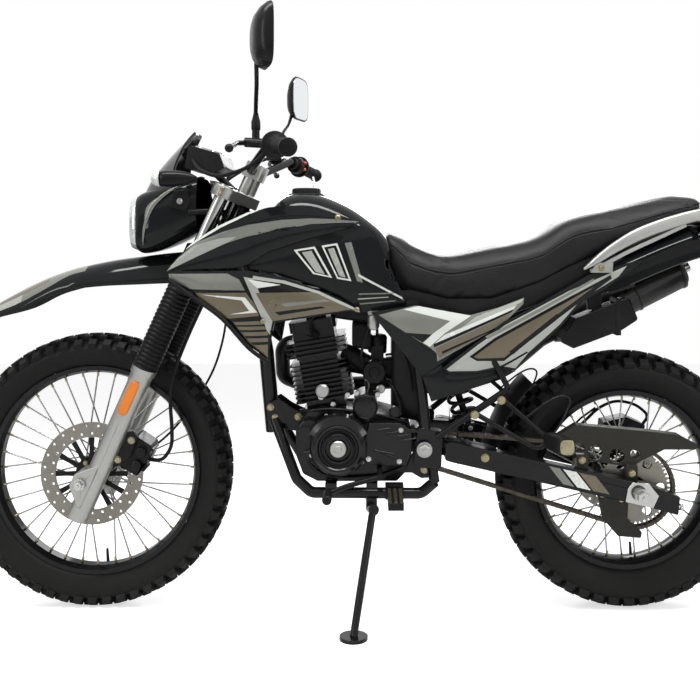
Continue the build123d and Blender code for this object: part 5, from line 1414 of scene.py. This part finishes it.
class BIKE_OT_engine(bpy.types.Operator):
    """Finish the engine, intake and exhaust."""
    bl_idname = "bike.engine"
    bl_label = "Engine"

    def execute(self, context):
        dress((("crankcase", "engine_black", "engine_black", 1.5),
               ("engine_covers", "engine_black", "engine_black", 1.0),
               ("cylinder", "engine_black", "engine_black", 0.5),
               ("cylinder_head", "engine_black", "engine_black", 0.5),
               ("exhaust_header", "exhaust_black", "engine_black", 0),
               ("muffler", "exhaust_black", "engine_black", 0.8),
               ("intake", "matte_plastic", "matte_black", 1.0)))
        self.covers()
        self.carburettor()
        self.exhaust()
        return {"FINISHED"}

    def covers(self):
        trim = Form()
        trim.spin([(0.1, -133), (8, -133), (9, -131.5), (18, -131.5), (20, -129), (20, -126)], CRANK,
                  ACROSS, 40, 1)
        trim.spin([(46, -124), (50, -128.5), (55, -128.5), (62, -122), (58, -119)], CRANK, ACROSS, 72, 0,
                  loop=True)
        trim.spin([(30, -126.5), (32, -129), (35, -129), (37, -126.5)], CRANK, ACROSS, 60, 0, loop=True)
        brow = []
        for k in range(25):
            angle = math.radians(28 + 124 * k / 24)
            c, s = math.cos(angle), math.sin(angle)
            brow.append([CRANK + Vector((r * c, y, r * s))
                         for r, y in ((58, -118), (58, -128), (66, -131), (78, -124), (80, -100),
                                      (66, -96))])
        trim.grid(brow, 0)
        trim.spin([(0.1, -104), (24, -104), (31, -101), (31, -90)], STARTER, ACROSS, 40, 0)
        trim.spin([(25, -103), (27, -105.4), (29, -103)], STARTER, ACROSS, 40, 0, loop=True)
        piece("engine_cover_trim", trim, ["engine_black", "alloy"], "frame", angle=35)
        ribs = Form()
        for k in range(4):
            x, z = 40 + 22 * k, 470 - 8 * k
            ribs.tube([(x, -107, z), (x + 34, -107.5, z + 5)], 2.2, 8)
        ribs.tube([(34, -107, 422), (84, -107, 412)], 2, 8)
        ribs.tube([(34, -107, 422), (86, -107, 404)], 2, 8)
        ribs.plate([(16, 388), (112, 384), (126, 412), (126, 470), (96, 486), (24, 486), (12, 440)], -106,
                   -72)
        for k in range(7):
            ribs.box((-148 + 1.5 * k, -62, 392 + 11 * k), (-116, 62, 397 + 11 * k))
        piece("engine_ribs", ribs, ["engine_black"], "frame", bevel=1.0)
        case = Form()
        case.spin([(0.1, -92), (24, -92), (27, -90), (28, -84), (28, -70)], (-124, 0, 462), (0, 1, 0), 36,
                  0)
        case.spin([(0.1, -76), (13, -76), (15, -74), (15, -66)], (88, 0, 506), (0, 1, 0), 28, 0)
        for k in range(5):
            way = spoke(math.radians(196 + 16 * k))
            case.tube([CRANK - ACROSS * 74 + way * 72, CRANK - ACROSS * 70 + way * 92], [3.5, 2.5], 8)
        case.tube(smooth_rows([(-126, -66, 380), (-90, -74, 352), (-20, -76, 344), (60, -74, 352),
                               (110, -70, 372)], 5), 5, 10)
        case.tube(smooth_rows([(-150, -40, 500), (-118, -66, 508), (-60, -72, 512), (40, -74, 500),
                               (118, -72, 480)], 5), 4, 10)
        case.spin([(14, 0), (14, 10), (10, 14)], (-20, 30, 336), (0, 0, -1), 6, 1)
        piece("engine_case_details", case, ["engine_black", "bright_steel"], "frame",
              angle=40)
        plates = Form()
        for side in SIDES:
            plates.plate([(-238, 512), (-220, 468), (-150, 462), (-138, 488), (-176, 506), (-206, 528)],
                         side * 22, side * 28)
            plates.plate([(112, 372), (150, 350), (176, 352), (180, 404), (134, 424)], side * 90, side * 96)
        piece("engine_plates", plates, ["frame_black"], "frame", bevel=1.0)
        bright = []
        for angle in (-100, -40, 20, 65, 115, 160, 205):
            a = math.radians(angle)
            bright.append((CRANK.x + 74 * math.cos(a), -74, CRANK.z + 74 * math.sin(a), 4.5))
        bright += [(-16, -106, 485, 5), (100, -106, 470, 5), (96, -106, 394, 5), (22, -106, 400, 5),
                   (44, -92, 552, 5), (-8, -92, 556, 5)]
        bright += [(-96, -64, 540, 5.5), (-66, -64, 522, 5), (-30, -64, 545, 5)]
        bright += [(CLUTCH.x + 72 * math.cos(a), 108, CLUTCH.z + 72 * math.sin(a), 4.5) for a in circle(8)]
        gold = both((-226, 28, 506, 7), (-214, 28, 480, 7), (-156, 28, 482, 7), (158, 96, 372, 8))
        bolts("engine_bolts", bright, "bright_steel", "frame")
        bolts("engine_mount_bolts", gold, "zinc", "frame")
        plug = Form()
        tilt = Vector((-0.17, 0, 0.98))
        root = Vector((-108, -58, 690))
        plug.spin([(9, 0), (9, 14), (6.5, 18), (6.5, 34), (8, 36), (8, 52), (5, 58)], root,
                  Vector((-0.3, -0.9, 0.3)), 18, 0)
        lead = smooth_rows([(-122, -106, 706), (-120, -112, 736), (-84, -92, 764), (-40, -52, 776),
                            (0, -30, 780)], 6)
        plug.tube(lead, 4, 10, 0)
        plug.spin([(17, 0), (17, 5), (14, 8)], Vector((-92, -67, 556)), (0, -1, 0.0), 26, 1)
        plug.spin([(26, 0), (26, 6), (22, 9)], Vector((-112, 0, 727)), tilt, 30, 0)
        piece("spark_plug_lead", plug, ["rubber", "alloy"], "frame", angle=40)

    def carburettor(self):
        form = Form()
        form.spin([(28, 0), (31, 3), (31, 12), (28, 15)], (74, 0, 598.5), (1, 0, 0.05), 36, 0)
        form.tube(smooth_rows([(-48, 0, 640), (-16, 0, 626), (20, 0, 606), (60, 0, 600)], 5), 27, 24, 0)
        form.spin([(22, 0), (24, 3), (24, 40), (20, 46), (10, 48)], (44, 0, 640), (0.04, 0, 1), 32, 1)
        form.spin([(26, 0), (29, 4), (29, 30), (26, 36), (14, 37), (12, 34), (0.1, 34)], (36, -26, 600),
                  (0, -1, 0), 36, 1)
        form.spin([(11, 0), (11, 8), (8, 10)], (52, -40, 556), (0, -1, 0), 20, 2)
        form.spin([(24, 0), (24, 26), (18, 32)], (36, 0, 572), (0, 0, -1), 30, 2)
        form.tube(smooth_rows([(44, -14, 684), (40, -18, 720), (14, -24, 752), (-30, -26, 764)], 5), 3.6,
                  10, 0)
        form.tube(smooth_rows([(60, -30, 580), (84, -58, 560), (98, -74, 528), (100, -84, 500)], 5), 3.2,
                  10, 0)
        form.tube(smooth_rows([(26, -32, 604), (4, -62, 640), (16, -72, 690), (40, -64, 752)], 5), 3.6, 10,
                  0)
        form.tube(smooth_rows([(66, -36, 640), (104, -66, 646), (122, -78, 610), (128, -84, 560)], 5), 3.0,
                  10, 0)
        piece("carburettor", form, ["rubber", "satin_black", "alloy"], "frame", angle=40)
        block = Form().grid(body_rows([(-70, 34, 742, 790), (-62, 42, 730, 798), (60, 44, 716, 800),
                                       (92, 36, 724, 792)], 3, 5, 36))
        block.grid(body_rows([(-20, 30, 664, 716), (-14, 36, 656, 724), (22, 36, 650, 720),
                              (28, 30, 658, 712)], 3, 5, 32))
        for k in range(5):
            block.tube(smooth_rows([(84, -40 - 3 * k, 760 - 6 * k), (112, -62 - 2 * k, 730 - 10 * k),
                                    (132 + 3 * k, -78, 660), (140 + 4 * k, -84, 560 - 8 * k)], 5), 2.6, 8)
        piece("coil_and_wires", block, ["rubber"], "frame", angle=40)
        tap = Form()
        tap.spin([(9, 0), (9, 22), (6, 26)], (34, -66, 772), (0, 0, -1), 18, 0)
        tap.spin([(14, 0), (15, 4), (15, 28), (11, 36), (4, 38)], (34, -66, 744), (0, 0, -1), 24, 0)
        tap.box((20, -82, 746), (48, -74, 756), 0)
        piece("fuel_tap", tap, ["alloy"], "frame", angle=40, bevel=0.5)

    def exhaust(self):
        low, high = Vector((528, 152, 663)), Vector((885, 152, 845))
        way = (high - low).normalized()
        shield = Form()
        for start, end in ((60, 66), (250, 256), (384, 392)):
            shield.spin([(50.4, start), (52.5, start + 1), (52.5, end - 1), (50.4, end)], low, way, 48, 0,
                        loop=True)
        rows = []
        side, up = ACROSS, ACROSS.cross(way)
        for k in range(21):
            angle = math.radians(-60 + 120 * k / 20)
            out = side * math.cos(angle) + up * math.sin(angle)
            rows.append([low + way * a + out * r for a, r in ((84, 54), (86, 57), (238, 57), (240, 54))])
        shield.grid(rows, 1)
        shield.spin([(15, 0), (17, 0), (17, 26), (15, 26)], low + way * 398, way, 30, 2, loop=True)
        piece("muffler_shield", shield, ["exhaust_black", "satin_black", "bright_steel"], "frame",
              angle=40)
        flange = Form().spin([(20, 0), (28, 1), (28, 9), (20, 10)], (-158, 37, 664), (-0.95, 0.28, -0.1),
                             30)
        piece("header_flange", flange, ["alloy"], "frame", bevel=0.5)


CHAIN_PITCH = 12.7
DRIVE = ((115.0, 430.0, 17), (REAR_AXLE.x, REAR_AXLE.z, 48))
CHAIN_Y = -82.0


def chain_track():
    """Points of the chain's pins in turn, with the way to the next pin."""
    (ax, az, small), (bx, bz, big) = DRIVE
    front, rear = (CHAIN_PITCH / (2 * math.sin(math.pi / teeth)) for teeth in (small, big))
    gap, base = math.hypot(bx - ax, bz - az), math.atan2(bz - az, bx - ax)
    tilt = math.asin((rear - front) / gap)
    run = gap * math.cos(tilt)
    top, low = base + math.pi / 2 + tilt, base - math.pi / 2 - tilt
    rear_arc, front_arc = rear * (math.pi + 2 * tilt), front * (math.pi - 2 * tilt)
    total = 2 * run + rear_arc + front_arc
    count = 2 * round(total / CHAIN_PITCH / 2)

    def at(distance):
        distance %= total
        if distance < run:
            spots = [Vector((x + r * math.cos(top), CHAIN_Y, z + r * math.sin(top)))
                     for x, z, r in ((ax, az, front), (bx, bz, rear))]
            return spots[0].lerp(spots[1], distance / run)
        distance -= run
        if distance < rear_arc:
            angle = top - distance / rear
            return Vector((bx + rear * math.cos(angle), CHAIN_Y, bz + rear * math.sin(angle)))
        distance -= rear_arc
        if distance < run:
            spots = [Vector((x + r * math.cos(low), CHAIN_Y, z + r * math.sin(low)))
                     for x, z, r in ((bx, bz, rear), (ax, az, front))]
            return spots[0].lerp(spots[1], distance / run)
        angle = low - (distance - run) / front
        return Vector((ax + front * math.cos(angle), CHAIN_Y, az + front * math.sin(angle)))

    return [at(total * k / count) for k in range(count)]


def link_template(offset, thick):
    """Pair of waisted side plates with two pins, lying along X with Y across."""
    form = Form()
    outline = []
    for angle in circle(24):
        c, s = math.cos(angle), math.sin(angle)
        outline.append((math.copysign(6.35, c) + 5.6 * c if abs(c) > 0.35 else 6.35 * c / 0.35 + 5.6 * c,
                        (5.7 if abs(c) > 0.35 else 4.4) * s))
    for side in SIDES:
        form.plate(outline, side * offset, side * (offset + thick))
    for x in (-6.35, 6.35):
        form.spin([(2.4, -offset - thick - 0.9), (2.4, offset + thick + 0.9)], (x, 0, 0), (0, 1, 0), 8)
        form.spin([(3.9, -3.1), (3.9, 3.1)], (x, 0, 0), (0, 1, 0), 10)
    return form


class BIKE_OT_drive(bpy.types.Operator):
    """Model the chain and finish the guards, swingarm and shock."""
    bl_idname = "bike.drive"
    bl_label = "Drive"

    def execute(self, context):
        pins = chain_track()
        groups = ([], [])
        for k, (here, after) in enumerate(zip(pins, pins[1:] + pins[:1])):
            groups[k % 2].append(((here + after) / 2, (after - here).cross(ACROSS).normalized(),
                                  (after - here).normalized(), (1, 1, 1)))
        outer = repeated("chain_outer_links", link_template(5.6, 1.5), groups[0], "chain_steel", "frame")
        repeated("chain_inner_links", link_template(3.6, 1.5), groups[1], "chain_steel", "frame")
        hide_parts("chain")
        dress((("chain_guards", "guard_olive", "matte_black", 0.6),
               ("swingarm", "frame_black", "frame_paint", 1.5),
               ("swingarm_bolts", "bright_steel", "steel", 0.6),
               ("rear_caliper", "satin_black", "matte_black", 1.0),
               ("main_frame", "frame_black", "frame_paint", 0),
               ("cradle_rails", "frame_black", "frame_paint", 0),
               ("frame_uprights", "frame_black", "frame_paint", 1.0),
               ("subframe", "frame_black", "frame_paint", 0)))
        self.shock()
        self.arm_details()
        return {"FINISHED"}

    def shock(self):
        low, high = Vector((280, 0, 452)), Vector((188, 0, 716))
        way = (low - high).normalized()
        span = (low - high).length
        form = Form()
        form.spin([(0.1, 12), (10, 12), (10, 26), (31, 28), (32, 40), (22, 42), (22, 150), (9, 152),
                   (9, span - 42), (32, span - 40), (32, span - 31), (10, span - 28), (10, span - 12),
                   (0.1, span - 12)], high, way, 36, 0)
        for point in (high, low):
            form.spin([(13, -10), (14, -9), (14, 9), (13, 10)], point, (0, 1, 0), 28, 0)
            form.spin([(6, -24), (6, 24)], point, ACROSS, 18, 2)
        side, up = ACROSS, ACROSS.cross(way)
        coil = []
        turns, steps = 7.5, 26
        for k in range(int(turns * steps) + 1):
            angle = 2 * math.pi * k / steps
            along = 44 + (span - 88) * k / (turns * steps)
            coil.append(high + way * along + (side * math.cos(angle) + up * math.sin(angle)) * 29)
        form.tube(coil, 5.2, 10, 1)
        piece("rear_shock_finished", form, ["satin_black", "frame_black", "bright_steel"], "frame",
              ("rear_shock",), angle=40)

    def arm_details(self):
        form = Form()
        slope = (342 - 448) / 481

        def on_arm(x, share):
            top = 448 + (x - 219) * slope
            return (x, top - 6 - share * 36)

        for start, width, mark in ((452, 26, 1), (486, 32, 0), (524, 40, 2)):
            for side in SIDES:
                corners = [on_arm(start, 0), on_arm(start + width, 0), on_arm(start + width + 34, 1),
                           on_arm(start + 34, 1)]
                form.plate(corners, side * 128, side * 128.8, mark)
        piece("swingarm_stripes", form, ["stripe_pale", "stripe_grey", "stripe_sand"], "frame")
        plates = Form()
        for side in SIDES:
            plates.plate([(634, 306), (700, 291), (714, 320), (702, 334), (690, 350), (650, 352),
                          (640, 338)], side * 128.2, side * 132)
            plates.tube([(708, side * 114, 300), (778, side * 114, 286)], 5, 12)
            plates.spin([(9, 0), (9, 7)], (770, side * 114, 287.6), (0.98, 0, -0.2), 6)
        piece("axle_plates", plates, ["bright_steel"], "frame", bevel=0.8)
        bolts("axle_nuts", both((670, 145, 323, 15)), "bright_steel", "frame")
        bolts("pivot_nuts", both((155, 130, 430, 15)), "alloy", "frame")
        bolts("guard_bolts",
              [(538, -108, 398, 7), (658, -108, 366, 7), (590, -98, 312, 6), (636, -98, 300, 6),
               (300, -128, 410, 8)], "zinc", "frame")
        slider = Form().plate([(214, 450), (330, 424), (330, 420), (214, 445)], -97.5, -78)
        slider.tube(smooth_rows([(640, 114, 470), (600, 116, 440), (540, 116, 394), (420, 116, 414)], 4),
                    3.0, 8)
        piece("chain_slider", slider, ["rubber"], "frame", bevel=0.8)


class BIKE_OT_controls(bpy.types.Operator):
    """Finish the pegs, foot levers and side stand."""
    bl_idname = "bike.controls"
    bl_label = "Foot controls"

    def execute(self, context):
        dressed("footpegs", "satin_black", "steel", 0.8)
        dressed("foot_levers", "satin_black", "steel", 0.4, 40)
        dressed("side_stand", "frame_black", "frame_paint", 0.6, 40)
        form = Form()
        for side in SIDES:
            form.spin([(9.6, 0), (11, 2), (11, 50), (8, 53)],
                      (-74, -152, 336) if side < 0 else (-100, 140, 336), (0, side, 0), 20, 0)
            rows = []
            for along, grow in ((0, 0.92), (4, 1.0), (56, 1.06), (62, 1.02), (64, 0.9)):
                base = Vector((446, side * 158, 462)).lerp(Vector((470, side * 216, 462)),
                        0.1 + 0.95 * along / 64)
                rows.append([base + Vector((x * grow, 0, z * grow)) for x, z in oval(19, 20, 3.4, 32)])
            form.grid(rows, 0)
            cap = [[(471 + x * s, side * (217.5 + d), 462 + z * s) for x, z in oval(16, 17, 3.2, 32)]
                   for s, d in ((1, 0), (1, 2), (0.9, 3))]
            form.grid(cap, 1)
        piece("peg_rubbers", form, ["rubber", "zinc"], "frame", angle=40)
        tooth = Form().grid([[(x * w, y * w, z)
                              for x, y in ((-0.5, -0.5), (0.5, -0.5), (0.5, 0.5), (-0.5, 0.5))]
                             for z, w in ((0, 1), (1, 0.5))])
        spots = []
        for side in SIDES:
            for k in range(7):
                for x in (71, 84, 97):
                    spots.append(((x, side * (126 + 13 * k), 332), (0, 0, 1), (1, 0, 0), (9, 8, 5)))
        repeated("peg_teeth", tooth, spots, "chain_steel", "frame")
        wire = Form()
        for side in SIDES:
            wire.tube(smooth_rows([(392, side * 160, 515), (440, side * 162, 552), (476, side * 164, 566),
                                   (492, side * 164, 552), (470, side * 162, 500), (452, side * 160, 474)],
                                  6), 2.6, 8)
        piece("peg_wires", wire, ["frame_black"], "frame", angle=60)
        bolts("hanger_bolts", both((332, 164, 556, 8), (270, 164, 522, 8)), "zinc", "frame")
        return {"FINISHED"}


# Stage

FLOOR_REACH = 30.0
FLOOR_GLOW = 0.6
WORLD_LIGHT = 0.36
LIGHT_TARGET = Vector((0, 0, 0.6))
CAMERA_PLACE = (0.0, -1.762, 0.641)
CAMERA_SHIFT = (-0.0246, -0.174)


class BIKE_OT_stage(bpy.types.Operator):
    """Make the floor, the light and the camera."""
    bl_idname = "bike.stage"
    bl_label = "Stage"

    def execute(self, context):
        scene = context.scene
        settings = scene.bike_stage
        scene.view_settings.view_transform = "Standard"
        mesh = bpy.data.meshes.new("floor")
        corners = [(x * FLOOR_REACH, y * FLOOR_REACH, 0) for x, y in ((-1, -1), (1, -1), (1, 1), (-1, 1))]
        mesh.from_pydata(corners, [], [(0, 1, 2, 3)])
        floor = bpy.data.objects.new("floor", mesh)
        scene.collection.objects.link(floor)
        mesh.materials.append(self.floor_finish(settings))
        self.world(scene)
        # Columns: name, place, width, height, power
        panels = (("overhead", (0.0, -0.9, 2.6), 3.0, 0.35, settings.key),
                  ("front_side", (-2.4, -2.0, 1.3), 0.22, 1.8, settings.fill),
                  ("rear_side", (2.4, -2.0, 1.3), 0.22, 1.8, settings.fill),
                  ("far_side", (0.3, 2.8, 2.2), 2.6, 0.8, settings.fill * 2))
        for name, place, width, height, power in panels:
            light = bpy.data.lights.new(name, "AREA")
            light.shape = "RECTANGLE"
            light.energy = power
            light.size = width
            light.size_y = height
            lamp = bpy.data.objects.new(name, light)
            lamp.location = place
            lamp.rotation_euler = (LIGHT_TARGET - Vector(place)).to_track_quat("-Z", "Y").to_euler()
            scene.collection.objects.link(lamp)
        data = bpy.data.cameras.new("camera")
        data.sensor_width = 36
        data.lens = settings.lens
        data.clip_end = 100
        camera = bpy.data.objects.new("camera", data)
        camera.location = CAMERA_PLACE
        camera.rotation_euler = (math.pi / 2 + LEAN, 0, 0)
        data.shift_x, data.shift_y = CAMERA_SHIFT
        scene.collection.objects.link(camera)
        scene.camera = camera
        return {"FINISHED"}

    def floor_finish(self, settings):
        """Pale floor that shows as background white with the object's shadow."""
        material = bpy.data.materials.new("studio_floor")
        material.use_nodes = True
        tree = material.node_tree
        shader = set_inputs(tree.nodes["Principled BSDF"], {
            "Base Color": (*settings.floor, 1), "Roughness": 0.9, "Specular IOR Level": 0.1,
            "Emission Color": (1, 1, 1, 1)})
        path = tree.nodes.new("ShaderNodeLightPath")
        total = math_node(tree.nodes, "MAXIMUM")
        weak = math_node(tree.nodes, "MULTIPLY")
        weak.inputs[1].default_value = FLOOR_GLOW
        connect(tree, ((path, "Is Camera Ray", total, 0), (path, "Is Transmission Ray", total, 1),
                       (total, "Value", weak, 0), (weak, "Value", shader, "Emission Strength")))
        return material

    def world(self, scene):
        world = bpy.data.worlds.new("studio")
        scene.world = world
        world.use_nodes = True
        tree = world.node_tree
        back = set_inputs(tree.nodes["Background"], {"Color": (1, 1, 1, 1)})
        path = tree.nodes.new("ShaderNodeLightPath")
        first, second = math_node(tree.nodes, "MAXIMUM"), math_node(tree.nodes, "MAXIMUM")
        level = set_inputs(tree.nodes.new("ShaderNodeMapRange"), {"To Min": WORLD_LIGHT, "To Max": 1.0})
        connect(tree, ((path, "Is Camera Ray", first, 0), (path, "Is Transmission Ray", first, 1),
                       (first, "Value", second, 0), (path, "Is Glossy Ray", second, 1),
                       (second, "Value", level, "Value"), (level, "Result", back, "Strength")))


PIECES = (BIKE_OT_finishes, BIKE_OT_tyres, BIKE_OT_wheels, BIKE_OT_fork, BIKE_OT_cockpit, BIKE_OT_headlight,
          BIKE_OT_fender, BIKE_OT_tank, BIKE_OT_seat, BIKE_OT_panels, BIKE_OT_engine, BIKE_OT_drive,
          BIKE_OT_controls, BIKE_OT_stage)
SETTINGS = (("bike_paint", PaintSettings), ("bike_tyres", TyreSettings), ("bike_seat", SeatSettings),
            ("bike_stage", StageSettings))


class BIKE_PT_panel(bpy.types.Panel):
    """Lists the bike's pieces and settings."""
    bl_idname = "BIKE_PT_panel"
    bl_label = "Dirt Bike"
    bl_space_type = "VIEW_3D"
    bl_region_type = "UI"
    bl_category = "Dirt Bike"

    def draw(self, context):
        for name, group in SETTINGS:
            column = self.layout.column(align=True)
            for key in group.__annotations__:
                column.prop(getattr(context.scene, name), key)
        for operator in PIECES:
            self.layout.operator(operator.bl_idname)


def register():
    for name, group in SETTINGS:
        bpy.utils.register_class(group)
        setattr(bpy.types.Scene, name, bpy.props.PointerProperty(type=group))
    for operator in PIECES:
        bpy.utils.register_class(operator)
    bpy.utils.register_class(BIKE_PT_panel)


def unregister():
    bpy.utils.unregister_class(BIKE_PT_panel)
    for operator in reversed(PIECES):
        bpy.utils.unregister_class(operator)
    for name, group in SETTINGS:
        delattr(bpy.types.Scene, name)
        bpy.utils.unregister_class(group)


def main():
    register()
    for operator in PIECES:
        group, name = operator.bl_idname.split(".")
        getattr(getattr(bpy.ops, group), name)()


if __name__ == "__main__":
    main()
